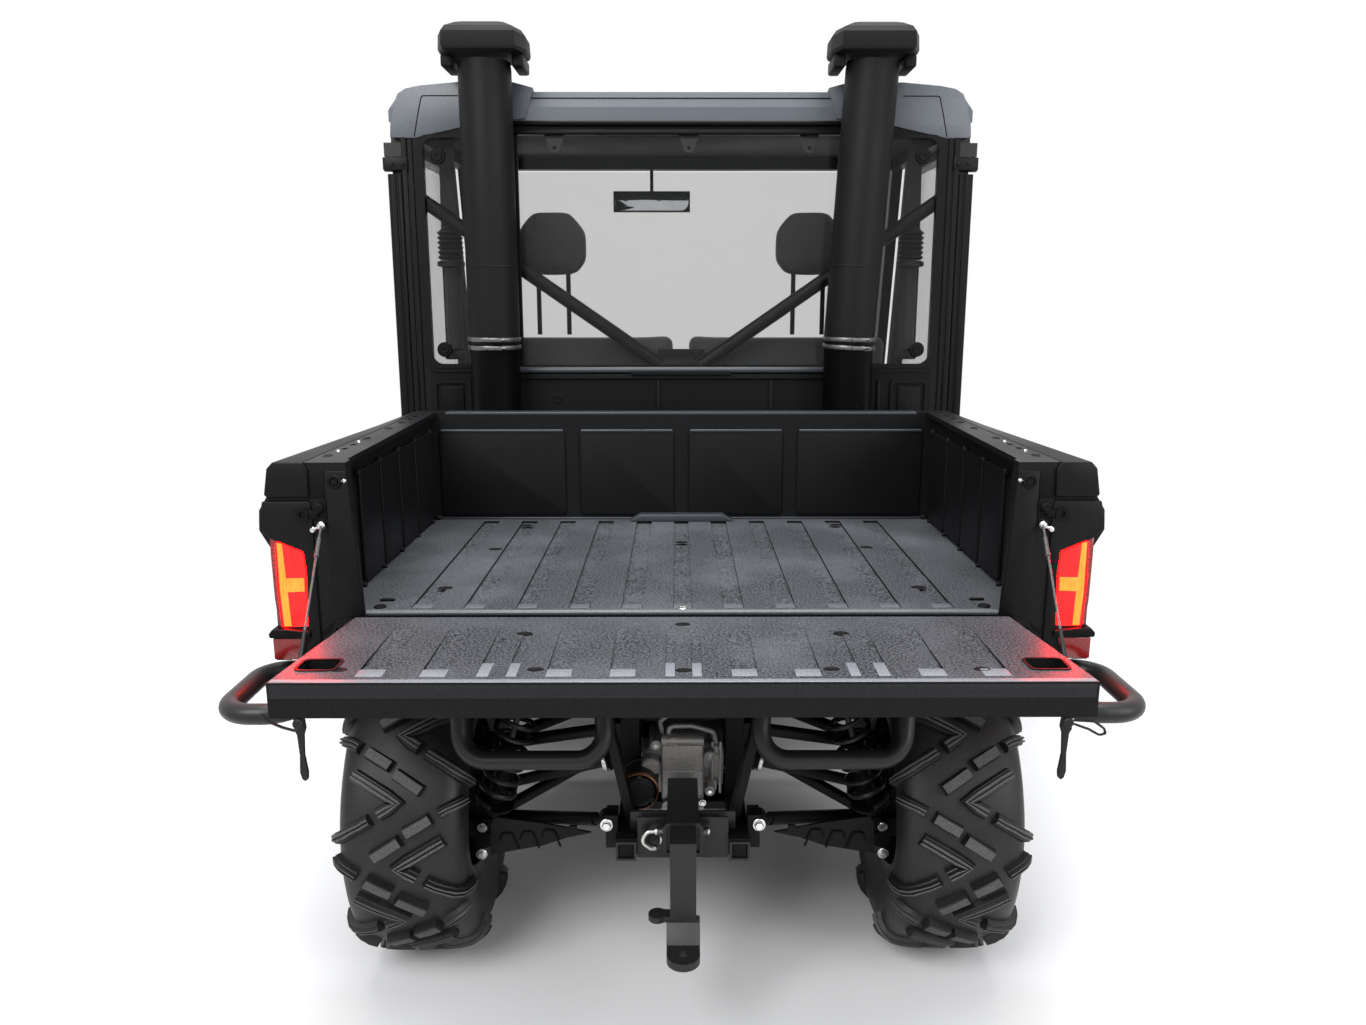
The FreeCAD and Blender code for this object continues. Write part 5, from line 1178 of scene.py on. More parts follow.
def make_roof():
    """Roof lobes behind the pillars, the seams, the bands over the glass and the ribs of the top."""
    Pile().both(prism(LOBE, "y", (881, 1000), 6.0, 4, far=LOBE_FAR)).make(
        "roof_lobes", "roof", "roof_plastic", angle=26)
    seams = Pile()
    seam = rounded_path([(757, 880.8, 1897), (744, 880.8, 1955), (731, 880.8, 2007), (628, 880.8, 2007)], 8, 4)
    seams.both(tube(seam, 1.5, 6)).add(tube([(-436, 892.6, 2003), (436, 892.6, 2003)], 1.8, 6)).make(
        "roof_seams", "black", "roof_plastic"
    )
    ribs = Pile()
    for x in (-560, -280, 0, 280, 560):
        ribs.add(box((x - 60, x + 60), (1010, 1480), (2022, 2030), 5.0, 3))
    ribs.make("roof_ribs", "roof", "roof_plastic")
    Pile(
        prism([(886, 1941), (874, 1940), (869, 1936), (871, 1928), (886, 1926)], "x", (-500, 500), 1.5, 3),
        prism([(886, 1920), (876, 1918), (872, 1908), (874, 1903), (886, 1902)], "x", (-500, 500), 1.5, 3)
    ).make("visor_strip", "panel", "cab_panel")
    # A black sheet under the roof: painted shade on the roof's underside
    Pile(box((-738, 738), (937, 1556), (1924, 1936), 4.0)).make("painted_shade_under_roof", "black", "roof_plastic")


WINDOW_RINGS = (
    # x low, x high, z low, z high of the glass, corner radius, then the ring's width inside, outside, below, above
    (-466.0, 466.0, 1253.0, 1903.0, 6.0, 10.0, 10.0, 3.0, 3.0),
    (504.0, 735.0, 1258.0, 1894.0, 32.0, 8.0, 24.0, 24.0, 10.0),
)


def make_cab_details():
    """Seals, buttons and tabs of the rear glass, the posts, the rear panel's ribs, hinges, brace plate and mirror."""
    seals = Pile()
    for x0, x1, z0, z1, radius, left, right, low, high in WINDOW_RINGS:
        outer = rounded_rect((x0 - left, x1 + right), (z0 - low, z1 + high), radius + 10)
        inner = rounded_rect((x0, x1), (z0, z1), radius)
        middle = rounded_rect((x0 - left / 2, x1 + right / 2), (z0 - low / 2, z1 + high / 2), radius + 5)
        for ring in (ring_plate(outer, inner, "y", (PANEL_Y - 7, PANEL_Y)), ring_plate(middle, inner, "y", (876, 880))):
            seals.add(ring, *([mirror(ring)] if x0 > 0 else []))
    seals.make("window_seals", "trim", "cab_panel", angle=25)
    buttons = Pile()
    for x, z in ((694, 1846), (700, 1300)):
        buttons.both(lathe([(0, 22), (4, 22), (6, 19), (6, 14), (9, 12), (9, 7), (7, 5), (7, 0)], (x, 889, z),
                           BACK, 32))
    buttons.make("glass_buttons", "trim", "cab_panel")
    tabs = Pile()
    holes = Pile()
    for x in (-362, 23, 368):
        tab = [(x - 30, 1908), (x + 30, 1908), (x + 24, 1890), (x + 13, 1861), (x + 8, 1857), (x - 8, 1857),
               (x - 13, 1861), (x - 24, 1890)]
        tabs.add(prism(tab, "y", (896, 902), 1.5))
        # A black disc for each tab's hole: painted shade of the hole
        holes.add(lathe([(-0.5, 5), (0.6, 5), (0.6, 0)], (x, 896, 1870), BACK, 16))
    tabs.make("glass_tabs", "grey_steel", "cab_panel")
    holes.make("glass_tab_holes", "black", "cab_panel")
    posts = Pile().both(
        box((765, 769), (PANEL_Y - 7, PANEL_Y), (430, 1896), 1.5), box((781, 796), (877, 883.5), (430, 1896), 2.5)
    )
    section = [(798, 903), (798, 880), (801, 877), (808, 877), (810, 880), (814, 880), (816, 876), (826, 874),
               (836, 878), (839, 884), (839, 903)]
    for z in ((474, 642), (738, 1796)):
        posts.both(prism(section, "z", z, 1.2))
    posts.make("post_profiles", "trim", "cab_steel")
    Pile(
        prism([(PANEL_Y, 1253), (875, 1249), (870, 1241), (871, 1233), (PANEL_Y, 1232)], "x", (-512, 512), 1.5, 3)
    ).make("window_ledge", "ledge", "cab_panel")
    panel = Pile(
        prism([(PANEL_Y, 1232), (877, 1229), (875, 1214), (PANEL_Y, 1212)], "x", (-512, 512), 1.5, 3),
        box((-148, 148), (868, 876), (1225, 1238), 1.5)
    )
    for x, half in ((-68, 5), (269, 6), (590, 5)):
        panel.add(box((x - half, x + half), (PANEL_Y - 8, PANEL_Y), (1000, 1210), 3.0))
    for z0, z1 in ((440, 640), (670, 860), (890, 1010)):
        for x0, x1 in ((-700, -360), (-330, -20), (20, 330), (360, 700)):
            panel.add(prism(rounded_rect((x0, x1), (z0, z1), 14), "y", (PANEL_Y - 6, PANEL_Y), 3.0))
    panel.add(lathe([(0, 14), (3, 14), (4, 10), (2, 8), (2, 5), (4, 4), (4, 0)], (-369, PANEL_Y, 1155), BACK, 28))
    outer = rounded_rect((625, 740), (990, 1212), 12)
    inner = rounded_rect((637, 728), (1002, 1201), 9)
    panel.both(ring_plate(outer, inner, "y", (PANEL_Y - 9, PANEL_Y))).make("cab_panel_ribs", "trim", "cab_panel")
    Pile().both(prism(rounded_rect((647, 719), (1010, 1193), 9), "y", (PANEL_Y - 6, PANEL_Y), 3.0, 3)).make(
        "cab_panel_recess", "panel", "cab_panel")
    hinges = Pile()
    for z in (650.0, 1806.0):
        hinges.both(
            box((779, 850), (876, 885.5), (z, z + 36), 3.0), bolt((792, 876, z + 18), BACK, 5.0, False),
            bolt((822, 876, z + 18), BACK, 5.0, False),
            lathe([(-2, 12), (2, 12.5), (34, 12.5), (36, 12)], (838, 892, z), UP, 24)
        )
    hinges.make("hinge_plates", "steel", "cab_steel")
    brace = Pile(
        prism([(-72, 1224), (72, 1224), (66, 1250), (40, 1274), (-40, 1274), (-66, 1250)], "y", (903, 909), 2.5)
    )
    for sign in (1, -1):
        brace.add(bolt((sign * 24, 903, 1240), BACK, 5.0, False), bolt((sign * 700, 907, 1691), BACK, 7.0))
    brace.make("brace_plate", "steel", "cab_steel")
    Pile(prism(rounded_rect((-230, 28), (1750, 1812), 26), "y", (1569.5, 1572), 0.8)).make(
        "mirror_face", "mirror", "cab_steel"
    )
    make_belts()


BELT = (682.0, 945.0)


def make_belts():
    """Belt guides behind the seats: a corrugated boot, its clip, the webbing below and the strap above."""
    belts = Pile()
    webbing = Pile()
    for x, y in (BELT, (-BELT[0], BELT[1])):
        profile = [(0, 20)]
        for k in range(6):
            profile += [(14 * k, 30), (14 * k + 7, 39), (14 * k + 14, 30)]
        profile += [(90, 24), (96, 18), (96, 0)]
        belts.add(lathe(profile, (x, y, 1560), UP, 36),
                  lathe([(0, 26), (4, 40), (16, 40), (20, 30), (20, 0)], (x, y, 1538), UP, 32),
                  box((x - 30, x + 30), (y - 11, y + 11), (1268, 1300), 6.0))
        webbing.add(box((x - 27, x + 27), (y - 1.5, y + 1.5), (1290, 1545), 1.2),
                    tube([(x, y, 1300), (x, y, 1540)], 21, 20),
                    prism([(x - 25, 1650), (x + 25, 1650), (x + 20, 1900), (x - 20, 1900)], "y", (y - 2, y + 1), 1.0))
    belts.make("belt_boots", "boot", "cab_steel", angle=50)
    webbing.make("belt_webbing", "seat", "cab_steel")


SNORKEL_Y = 806.0
PIPE_R = 72.8
HEAD_PLAN = ((-119, -30), (-98, -92), (98, -92), (119, -30), (119, 62), (86, 98), (-86, 98), (-119, 62))
HEAD_LEVELS = ((2088, 0.84), (2096, 0.97), (2104, 1.0), (2140, 0.985), (2154, 0.90), (2167, 0.66), (2172, 0.5))
CLAMP_R = 73.6


def snorkel_head(x, y):
    """Chamfered eight-sided head that overhangs its pipe: its plan times a share at each level."""
    plan = np.array(HEAD_PLAN, dtype=float)
    rings = [np.column_stack((x + plan[:, 0] * share, y + plan[:, 1] * share, np.full(len(plan), z)))
             for z, share in HEAD_LEVELS]
    faces = skin(len(rings), len(plan)) + ends(len(rings), len(plan))
    return bevelled(filled(np.vstack(rings), faces), 4.0, 3, 14.0)


def make_snorkels():
    """Two intake pipes: a hose at the foot, two clamps, a leaning pipe and a head."""
    smooth, hoses, clamps = Pile(), Pile(), Pile()
    y = SNORKEL_Y
    for foot, top, tilt, shift in ((-537.0, -537.0, 0.0, 0.0), (484.0, 525.0, 0.05, 0.5)):
        lower, upper = np.array((foot, y, 740.5)), np.array((foot, y, 1322.0))
        hoses.add(lathe([(0, 66), (4, 70.5), (566, 70.5), (570, 71.5), (578, 71.5), (581, 70)], lower, UP, 56))
        axis = np.array((top, y, 2078.0)) - upper
        length = np.linalg.norm(axis)
        smooth.add(
            lathe([(-8, 67), (0, 71), (6, 72.5), (30, PIPE_R), (length - 20, PIPE_R), (length, 71), (length, 40)],
                  upper, axis, 56),
            lathe([(0, 72.6), (1, 73.4), (4, 73.4), (5, 72.6)], upper + axis * 0.28, axis, 56),
            snorkel_head(top, y)
        )
        for x in (top - 96, top + 96):
            smooth.add(box((x - 16, x + 16), (y - 40, y + 84), (2060, 2094), 7.0, 3))
        for x, z, lean in ((foot, 1311.0, tilt), (foot + shift, 1334.0, 0.015)):
            clamps.add(
                lathe([(-6, CLAMP_R), (-6, CLAMP_R + 1.6), (-4.5, CLAMP_R + 2.4), (4.5, CLAMP_R + 2.4), (6,
                      CLAMP_R + 1.6), (6, CLAMP_R)], (x, y, z), (lean, 0.0, 1.0), 64),
                box((x - 2, x + 34), (y - CLAMP_R - 10, y - CLAMP_R - 1), (z - 6, z + 6), 2.0),
                lathe([(0, 5), (12, 5), (13, 4), (13, 0)], (x + 32, y - CLAMP_R - 5, z), RIGHT, 12)
            )
    body = smooth.make("snorkel_bodies", "pipe", "snorkel_plastic", angle=26)
    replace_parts(body, "snorkels")
    hoses.make("snorkel_hoses", "hose", "snorkel_plastic", angle=26)
    clamps.make("hose_clamps", "band", "snorkel_plastic")


# Interior
CUSHIONS = (
    # x low, x high, y low, y high, z low, z high
    (-625.0, -15.0, 1082.0, 1488.0, 642.0, 760.0),
    (15.0, 625.0, 1082.0, 1488.0, 642.0, 760.0),
    (-632.0, -14.0, 962.0, 1062.0, 700.0, 1344.0),
    (14.0, 632.0, 962.0, 1062.0, 700.0, 1344.0),
)


def make_seats():
    """Padded seats: closed boxes blown up a little by a cloth simulation."""
    settings = bpy.context.scene.vehicle_looks
    for index, (x0, x1, y0, y1, z0, z1) in enumerate(CUSHIONS):
        shape = box((x0, x1), (y0, y1), (z0, z1), 26.0, 5)
        piece = Pile(shape).make("seat_pad_%d" % index, "seat", "seat_fabric", angle=60)
        puff(piece, settings.seat_pressure, settings.seat_swell / 1000.0)
        if index == 0:
            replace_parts(piece, "seat_cushions")


def puff(piece, pressure, cap):
    """Remeshes a closed piece, swells it by cloth pressure and keeps each move under a cap."""
    bpy.context.view_layer.objects.active = piece
    for other in bpy.context.selected_objects:
        other.select_set(False)
    piece.select_set(True)
    remesh = piece.modifiers.new("even", "REMESH")
    remesh.mode = "VOXEL"
    remesh.voxel_size = 0.010
    bpy.ops.object.modifier_apply(modifier=remesh.name)
    count = len(piece.data.vertices)
    rest = np.empty(count * 3)
    piece.data.vertices.foreach_get("co", rest)
    cloth = piece.modifiers.new("swell", "CLOTH")
    cloth.settings.quality = 5
    cloth.settings.use_pressure = True
    cloth.settings.uniform_pressure_force = pressure
    cloth.settings.effector_weights.gravity = 0.0
    cloth.settings.mass = 0.3
    cloth.settings.tension_stiffness = 25.0
    cloth.settings.compression_stiffness = 25.0
    cloth.point_cache.frame_start = 1
    cloth.point_cache.frame_end = 20
    scene = bpy.context.scene
    for frame_number in range(1, 21):
        scene.frame_set(frame_number)
    bpy.ops.object.modifier_apply(modifier=cloth.name)
    scene.frame_set(1)
    moved = np.empty(count * 3)
    piece.data.vertices.foreach_get("co", moved)
    shift = (moved - rest).reshape(-1, 3)
    length = np.linalg.norm(shift, axis=1, keepdims=True)
    held = shift * np.minimum(1.0, cap / np.maximum(length, 1e-9))
    piece.data.vertices.foreach_set("co", (rest.reshape(-1, 3) + held).ravel())
    piece.data.update()
    smooth = piece.modifiers.new("soft", "SUBSURF")
    smooth.levels = smooth.render_levels = 1
    bpy.ops.object.modifier_apply(modifier=smooth.name)
    piece.data.polygons.foreach_set("use_smooth", np.ones(len(piece.data.polygons), dtype=bool))


def make_headrests():
    """Two headrests with an octagonal back each."""
    outline = [(-101, 1558), (-101, 1640), (-50, 1699), (50, 1699), (101, 1640), (101, 1558), (70, 1520), (-70, 1520)]
    for index, side in enumerate((-1, 1)):
        shape = prism([(side * 385 + x, z) for x, z in outline], "y", (955, 1010), 14.0, 4)
        piece = Pile(shape).make("headrest_%s" % "lr"[index], "seat", "seat_fabric", angle=60)
        puff(piece, 4.0, 0.006)
        if index == 0:
            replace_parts(piece, "headrests")
    Pile().both(*(lathe([(1340, 7), (1530, 7)], (x, 988, 0), UP, 16) for x in (340, 430))).make(
        "headrest_posts", "steel", "seat_fabric")


def make_steering():
    """Steering wheel: a padded rim, three spokes and a hub, turned about its shaft."""
    centre = np.array((-385.0, 1480.0, 1065.0))
    tilt = math.radians(35.0)
    axis = np.array((0.0, -math.cos(tilt), math.sin(tilt)))
    u, v, w = basis(axis)
    turn = np.linspace(0, 2 * math.pi, 72, endpoint=False)
    radii = 15.0 + 1.2 * np.cos(turn * 36) + 1.5 * np.cos(turn * 4)
    grip = Pile(tube(centre + 166 * (np.outer(np.cos(turn), u) + np.outer(np.sin(turn), v)), radii, 18, True)).make(
        "wheel_grip", "boot", "wheel_grip", "steering_wheel", 50
    )
    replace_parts(grip, "steering_wheel")
    hub = Pile()
    for angle in (90, 210, 330):
        a = math.radians(angle)
        out = u * math.cos(a) + v * math.sin(a)
        hub.add(tube([centre + out * 18 - w * 3, centre + out * 80 - w * 3, centre + out * 158], [13, 12, 10], 14))
    hub.add(
        lathe([(-30, 30), (-24, 46), (0, 50), (8, 44), (11, 30), (11, 0)], centre, axis, 40),
        lathe([(-60, 18), (-24, 18)], centre, axis, 24)
    ).make("wheel_hub", "trim", "wheel_grip", "steering_wheel")


DASH_Y = 1592.0


def make_dash_details():
    """Vents with slats, a dark display, knobs, the glove box's lid and a grab bar."""
    vents = Pile()
    slats = Pile()
    for x in (-610, -150, 150, 610):
        outer = rounded_rect((x - 62, x + 62), (1050, 1110), 16)
        inner = rounded_rect((x - 52, x + 52), (1060, 1100), 10)
        vents.add(ring_plate(outer, inner, "y", (1583, DASH_Y)))
        for k in range(4):
            slats.add(box((x - 52, x + 52), (1586, DASH_Y), (1064 + 9 * k, 1067 + 9 * k), 1.0))
    vents.make("dash_vents", "panel", "dash_plastic")
    slats.make("dash_slats", "trim", "dash_plastic")
    Pile(prism(rounded_rect((-95, 95), (930, 1035), 10), "y", (1584, DASH_Y), 2.0)).make(
        "dash_screen", "screen", "dash_plastic"
    )
    knobs = Pile()
    for x in (-60, -20, 20, 60):
        knobs.add(lathe([(0, 13), (8, 12), (12, 10), (12, 0)], (x, DASH_Y, 900), BACK, 24))
    knobs.add(box((150, 420), (1584, DASH_Y), (870, 1000), 6.0, 3))
    bar = rounded_path([(200, DASH_Y, 1140), (200, 1560, 1150), (480, 1560, 1150), (480, DASH_Y, 1140)], 20)
    knobs.add(tube(bar, 13, 16)).make("dash_controls", "trim", "dash_plastic")


# Doors and front
def make_door_details():
    """Handle, latch plates and grab bar of each door."""
    for side, name in ((1, "door_r"), (-1, "door_l")):
        handle = Pile()
        bar = rounded_path([(829, 1500, 905), (842, 1490, 905), (842, 1380, 905), (829, 1370, 905)], 8)
        handle.add(tube(bar, 7, 12), prism(rounded_rect((1360, 1510), (872, 938), 14), "x", (828, 832), 1.5),
                   prism(rounded_rect((920, 960), (1010, 1050), 10), "x", (828, 834), 2.0))
        grab = rounded_path([(801, 1450, 980), (770, 1440, 980), (770, 1250, 980), (801, 1240, 980)], 14)
        handle.add(tube(grab, 11, 14))
        Pile(sided(handle.shape(), side)).make("handle_" + name[-1], "trim", "body_plastic", name)


FRONT_Y = 2686.0
HOOD_RIB = ((2040, 1146), (2500, 1030.5), (2500, 1039), (2040, 1154.5))


def make_front_details():
    """Lamp bowls, the grille's bars, bumper bolts and the ribs seated on the hood."""
    inner = Pile()
    for x in (525.0, 620.0):
        inner.both(lathe([(-46, 16), (-40, 22), (-20, 34), (-3, 38), (-3, 36), (-22, 30), (-38, 15), (-38, 0)],
                         (x, FRONT_Y, 852), AHEAD, 36))
    inner.make("headlamp_bowls", "lamp_inner", "lamp_clear")
    grille = Pile()
    for k in range(7):
        z = 618.0 + 32 * k
        grille.add(box((-340, 340), (FRONT_Y, FRONT_Y + 10), (z, z + 12), 3.0))
    for x in (-340, -170, 0, 170, 340):
        grille.add(box((x - 7, x + 7), (FRONT_Y + 2, FRONT_Y + 12), (606, 844), 2.5))
    grille.make("grille_bars", "trim", "body_plastic")
    bolts = Pile()
    for z in (560, 700):
        bolts.both(bolt((180, 2738, z), AHEAD, 8.0))
    bolts.make("front_bolts", "zinc", "bumper_steel")
    ribs = Pile()
    for x in (-300, 300):
        ribs.add(prism(HOOD_RIB, "x", (x - 20, x + 20), 3.0))
    ribs.make("hood_ribs", "body", "body_plastic", "hood")


# Studio
WHITE = (1.0, 1.0, 1.0, 1.0)


def make_stage():
    """Pale floor, three soft lights, an even sky and the camera at the photograph's angle."""
    settings = bpy.context.scene.vehicle_looks
    scene = bpy.context.scene
    mesh = bpy.data.meshes.new("studio_floor")
    size = settings.floor_size
    mesh.from_pydata([(-size, -size, 0), (size, -size, 0), (size, size, 0), (-size, size, 0)], [], [(0, 1, 2, 3)])
    floor = bpy.data.objects.new("studio_floor", mesh)
    scene.collection.objects.link(floor)
    material, tree, shader = node_tree("studio floor")
    seen = ramp(tree, noise(tree, 0.6), (0.80, 0.80, 0.81), (0.84, 0.84, 0.85))
    bounce = ramp(tree, noise(tree, 0.6), (0.26, 0.25, 0.24), (0.30, 0.29, 0.28))
    plain = plain_ray(tree)
    feed(tree, shader, {"Base Color": blended(tree, bounce, seen, plain), "Roughness": 0.75})
    reach = node(tree, "ShaderNodeVectorMath", {0: coordinates(tree)}, operation="LENGTH").outputs["Value"]
    fade = node(tree, "ShaderNodeMapRange", {"From Min": 1.6, "From Max": 3.6, "Value": reach},
                interpolation_type="SMOOTHSTEP").outputs["Result"]
    glow = node(tree, "ShaderNodeEmission", {"Color": WHITE, "Strength": 1.0})
    mix = node(tree, "ShaderNodeMixShader", {0: product(tree, fade, plain), 1: shader.outputs[0], 2: glow.outputs[0]})
    tree.links.new(mix.outputs[0], tree.nodes["Material Output"].inputs[0])
    mesh.materials.append(material)
    stage = [floor]
    for name, spot, target, power, width in (
            ("key", (-2.6, -5.2, 4.6), (0.0, 0.0, 0.9), 260.0, 3.0),
            ("fill", (3.6, -4.0, 2.6), (0.0, 0.0, 0.8), 110.0, 3.0),
            ("top", (0.0, -0.6, 5.6), (0.0, -0.2, 0.8), 430.0, 4.0)):
        data = bpy.data.lights.new(name, "AREA")
        data.energy = power * settings.light
        data.size = width
        lamp = bpy.data.objects.new(name, data)
        lamp.location = spot
        aim = np.array(target) - np.array(spot)
        lamp.rotation_euler = (math.acos(-aim[2] / np.linalg.norm(aim)), 0.0, math.atan2(-aim[0], aim[1]))
        scene.collection.objects.link(lamp)
        stage.append(lamp)
    world = bpy.data.worlds.new("studio")
    world.use_nodes = True
    tree = world.node_tree
    seen = tree.nodes["Background"]
    feed(tree, seen, {0: WHITE, 1: 1.0})
    sky = node(tree, "ShaderNodeBackground", {0: (0.96, 0.98, 1.0, 1.0), 1: settings.sky})
    pick = node(tree, "ShaderNodeMixShader", {0: plain_ray(tree), 1: sky.outputs[0], 2: seen.outputs[0]})
    tree.links.new(pick.outputs[0], tree.nodes["World Output"].inputs[0])
    scene.world = world
    data = bpy.data.cameras.new("camera")
    data.lens = 26.88
    data.sensor_width = 36.0
    camera = bpy.data.objects.new("camera", data)
    camera.location = (-0.009, -3.265, 1.455)
    camera.rotation_euler = (math.radians(78.02), 0.0, math.radians(-0.28))
    scene.collection.objects.link(camera)
    scene.camera = camera
    stage.append(camera)
    scene.view_settings.view_transform = "Standard"
    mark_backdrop(*stage)


# Add-on
def colour_property(name, description, default):
    """Colour setting of three channels from 0 to 1."""
    return bpy.props.FloatVectorProperty(name=name, description=description, subtype="COLOR", size=3, min=0.0, max=1.0,
                                         default=default)


class VehicleLooks(bpy.types.PropertyGroup):
    """Sizes and colours a user may change."""
    seat_pressure: bpy.props.FloatProperty(
        name="Seat pressure", description="Pressure that fills the seat pads", default=4.0, min=0.0, max=20.0)
    seat_swell: bpy.props.FloatProperty(
        name="Seat swell", description="Largest swelling of a seat pad in mm", default=14.0, min=0.0, max=30.0)
    floor_size: bpy.props.FloatProperty(
        name="Floor size", description="Half width of the studio floor", default=40.0, min=5.0, unit="LENGTH")
    light: bpy.props.FloatProperty(
        name="Light", description="Factor on the power of the studio lights", default=1.0, min=0.0, subtype="FACTOR")
    sky: bpy.props.FloatProperty(
        name="Sky", description="Strength of the even light from all round", default=0.45, min=0.0)
    bed_colour: colour_property("Bed", "Colour of the bed and tailgate plastic", (0.0108, 0.0113, 0.0126))
    roof_colour: colour_property("Roof and hood", "Colour of the slate body plastic", (0.075, 0.086, 0.102))
    trim_colour: colour_property("Trim", "Colour of the black trim and the intake pipes", (0.0120, 0.0120, 0.0125))
    steel_colour: colour_property("Steel", "Colour of the frame, cage, bumpers and rims", (0.0125, 0.0125, 0.0130))
    tyre_colour: colour_property("Tyres", "Colour of the tyre rubber", (0.0150, 0.0150, 0.0155))
    seat_colour: colour_property("Seats", "Colour of the seat cloth", (0.028, 0.028, 0.030))
    lamp_colour: colour_property("Rear lamps", "Colour of the lit rear lenses", (1.0, 0.0005, 0.0005))


class VEHICLE_OT_materials(bpy.types.Operator):
    """Makes the materials and dresses the CAD nodes that stay in view"""
    bl_idname = "vehicle.materials"
    bl_label = "Materials"

    def execute(self, context):
        MATS.update(make_materials())
        dress_nodes()
        return {"FINISHED"}


class VEHICLE_OT_bed(bpy.types.Operator):
    """Builds the bed's panels, lips, drains and rings"""
    bl_idname = "vehicle.bed"
    bl_label = "Bed"

    def execute(self, context):
        make_bed_details()
        make_corners()
        return {"FINISHED"}


class VEHICLE_OT_tailgate(bpy.types.Operator):
    """Builds the tailgate's edge, drains, stay cables and straps"""
    bl_idname = "vehicle.tailgate"
    bl_label = "Tailgate"

    def execute(self, context):
        make_gate_details()
        make_cables()
        make_straps()
        return {"FINISHED"}


class VEHICLE_OT_wheels(bpy.types.Operator):
    """Builds the tyres with their tread, the nuts, caps and discs"""
    bl_idname = "vehicle.wheels"
    bl_label = "Wheels"

    def execute(self, context):
        make_tyres()
        make_wheel_details()
        return {"FINISHED"}


class VEHICLE_OT_suspension(bpy.types.Operator):
    """Builds the coil springs, dampers, boots, ribs and bolts"""
    bl_idname = "vehicle.suspension"
    bl_label = "Suspension"

    def execute(self, context):
        make_shocks()
        make_suspension_details()
        return {"FINISHED"}


class VEHICLE_OT_drivetrain(bpy.types.Operator):
    """Builds the castings, pipes and can of the rear gearbox"""
    bl_idname = "vehicle.drivetrain"
    bl_label = "Drivetrain"

    def execute(self, context):
        make_drivetrain()
        return {"FINISHED"}


class VEHICLE_OT_hitch(bpy.types.Operator):
    """Builds the receiver's rim, the pin and the ramp plate"""
    bl_idname = "vehicle.hitch"
    bl_label = "Hitch"

    def execute(self, context):
        make_hitch_details()
        return {"FINISHED"}


class VEHICLE_OT_cab(bpy.types.Operator):
    """Builds the roof lobes, window seals, ribs, hinges and brace plate"""
    bl_idname = "vehicle.cab"
    bl_label = "Cab"

    def execute(self, context):
        make_roof()
        make_cab_details()
        return {"FINISHED"}


class VEHICLE_OT_snorkels(bpy.types.Operator):
    """Builds the two intake pipes with their heads and clamps"""
    bl_idname = "vehicle.snorkels"
    bl_label = "Snorkels"

    def execute(self, context):
        make_snorkels()
        return {"FINISHED"}


class VEHICLE_OT_interior(bpy.types.Operator):
    """Builds the dashboard's vents, display and knobs and the steering wheel"""
    bl_idname = "vehicle.interior"
    bl_label = "Interior"

    def execute(self, context):
        make_dash_details()
        make_steering()
        return {"FINISHED"}


class VEHICLE_OT_seats(bpy.types.Operator):
    """Builds the padded cushions, backs and headrests"""
    bl_idname = "vehicle.seats"
    bl_label = "Seats"

    def execute(self, context):
        make_seats()
        make_headrests()
        return {"FINISHED"}


class VEHICLE_OT_doors(bpy.types.Operator):
    """Builds the door handles and grab bars"""
    bl_idname = "vehicle.doors"
    bl_label = "Doors"

    def execute(self, context):
        make_door_details()
        return {"FINISHED"}


class VEHICLE_OT_front(bpy.types.Operator):
    """Builds the lamp bowls, grille bars, ribs and bolts of the front"""
    bl_idname = "vehicle.front"
    bl_label = "Front"

    def execute(self, context):
        make_front_details()
        return {"FINISHED"}


class VEHICLE_OT_stage(bpy.types.Operator):
    """Builds the studio floor, lights, sky and camera"""
    bl_idname = "vehicle.stage"
    bl_label = "Stage"

    def execute(self, context):
        make_stage()
        return {"FINISHED"}


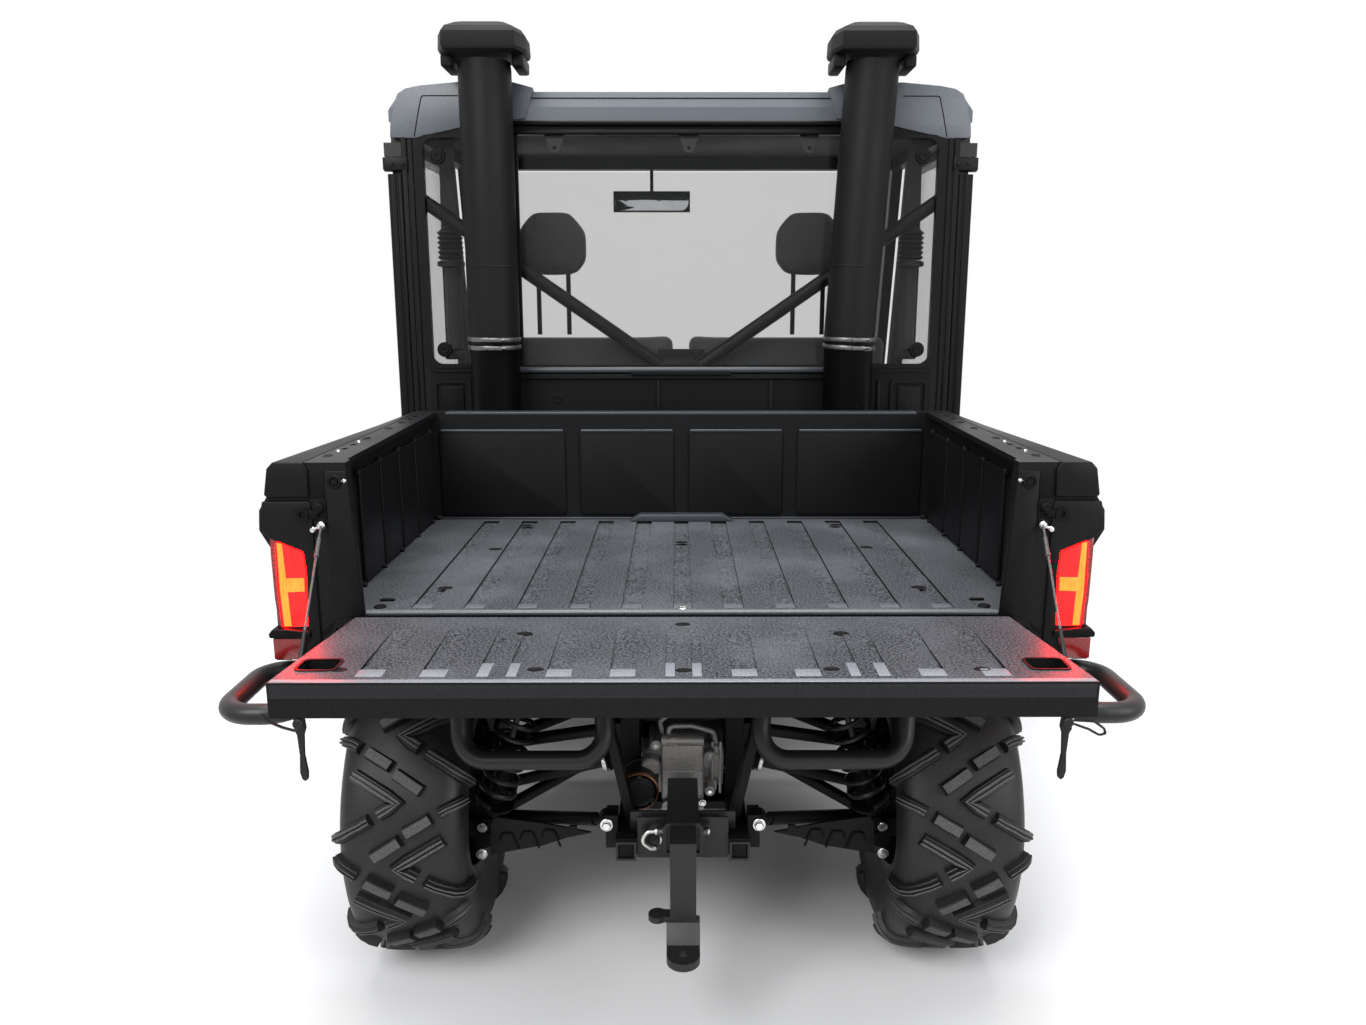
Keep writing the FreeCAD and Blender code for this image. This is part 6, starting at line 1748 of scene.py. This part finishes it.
OPERATORS = (
    VEHICLE_OT_materials,
    VEHICLE_OT_bed,
    VEHICLE_OT_tailgate,
    VEHICLE_OT_wheels,
    VEHICLE_OT_suspension,
    VEHICLE_OT_drivetrain,
    VEHICLE_OT_hitch,
    VEHICLE_OT_cab,
    VEHICLE_OT_snorkels,
    VEHICLE_OT_interior,
    VEHICLE_OT_seats,
    VEHICLE_OT_doors,
    VEHICLE_OT_front,
    VEHICLE_OT_stage,
)


class VEHICLE_PT_looks(bpy.types.Panel):
    """Lists the settings and the builders"""
    bl_label = "Vehicle"
    bl_idname = "VEHICLE_PT_looks"
    bl_space_type = "VIEW_3D"
    bl_region_type = "UI"
    bl_category = "Vehicle"

    def draw(self, context):
        settings = context.scene.vehicle_looks
        for name in VehicleLooks.__annotations__:
            self.layout.prop(settings, name)
        for operator in OPERATORS:
            self.layout.operator(operator.bl_idname)


def register():
    """Adds the settings, the operators and the panel."""
    for cls in (VehicleLooks, *OPERATORS, VEHICLE_PT_looks):
        bpy.utils.register_class(cls)
    bpy.types.Scene.vehicle_looks = bpy.props.PointerProperty(type=VehicleLooks)


def unregister():
    """Takes them away again."""
    del bpy.types.Scene.vehicle_looks
    for cls in reversed((VehicleLooks, *OPERATORS, VEHICLE_PT_looks)):
        bpy.utils.unregister_class(cls)


def visual_box():
    """Low and high corners of every piece that is shown, modifiers applied."""
    graph = bpy.context.evaluated_depsgraph_get()
    low, high = np.full(3, np.inf), np.full(3, -np.inf)
    for piece in bpy.context.scene.objects:
        if piece.type != "MESH" or piece.hide_render or piece.get("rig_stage"):
            continue
        mesh = piece.evaluated_get(graph).to_mesh()
        co = np.empty(len(mesh.vertices) * 3)
        mesh.vertices.foreach_get("co", co)
        co = co.reshape(-1, 3) @ np.array(piece.matrix_world.to_3x3()).T + np.array(piece.matrix_world.translation)
        low, high = np.minimum(low, co.min(0)), np.maximum(high, co.max(0))
    return low, high


def main():
    """Runs every operator in order."""
    register()
    for operator in OPERATORS:
        name = operator.bl_idname.split(".")[1]
        getattr(bpy.ops.vehicle, name)()
    bpy.context.view_layer.update()
    low, high = visual_box()


if __name__ == "__main__":
    main()
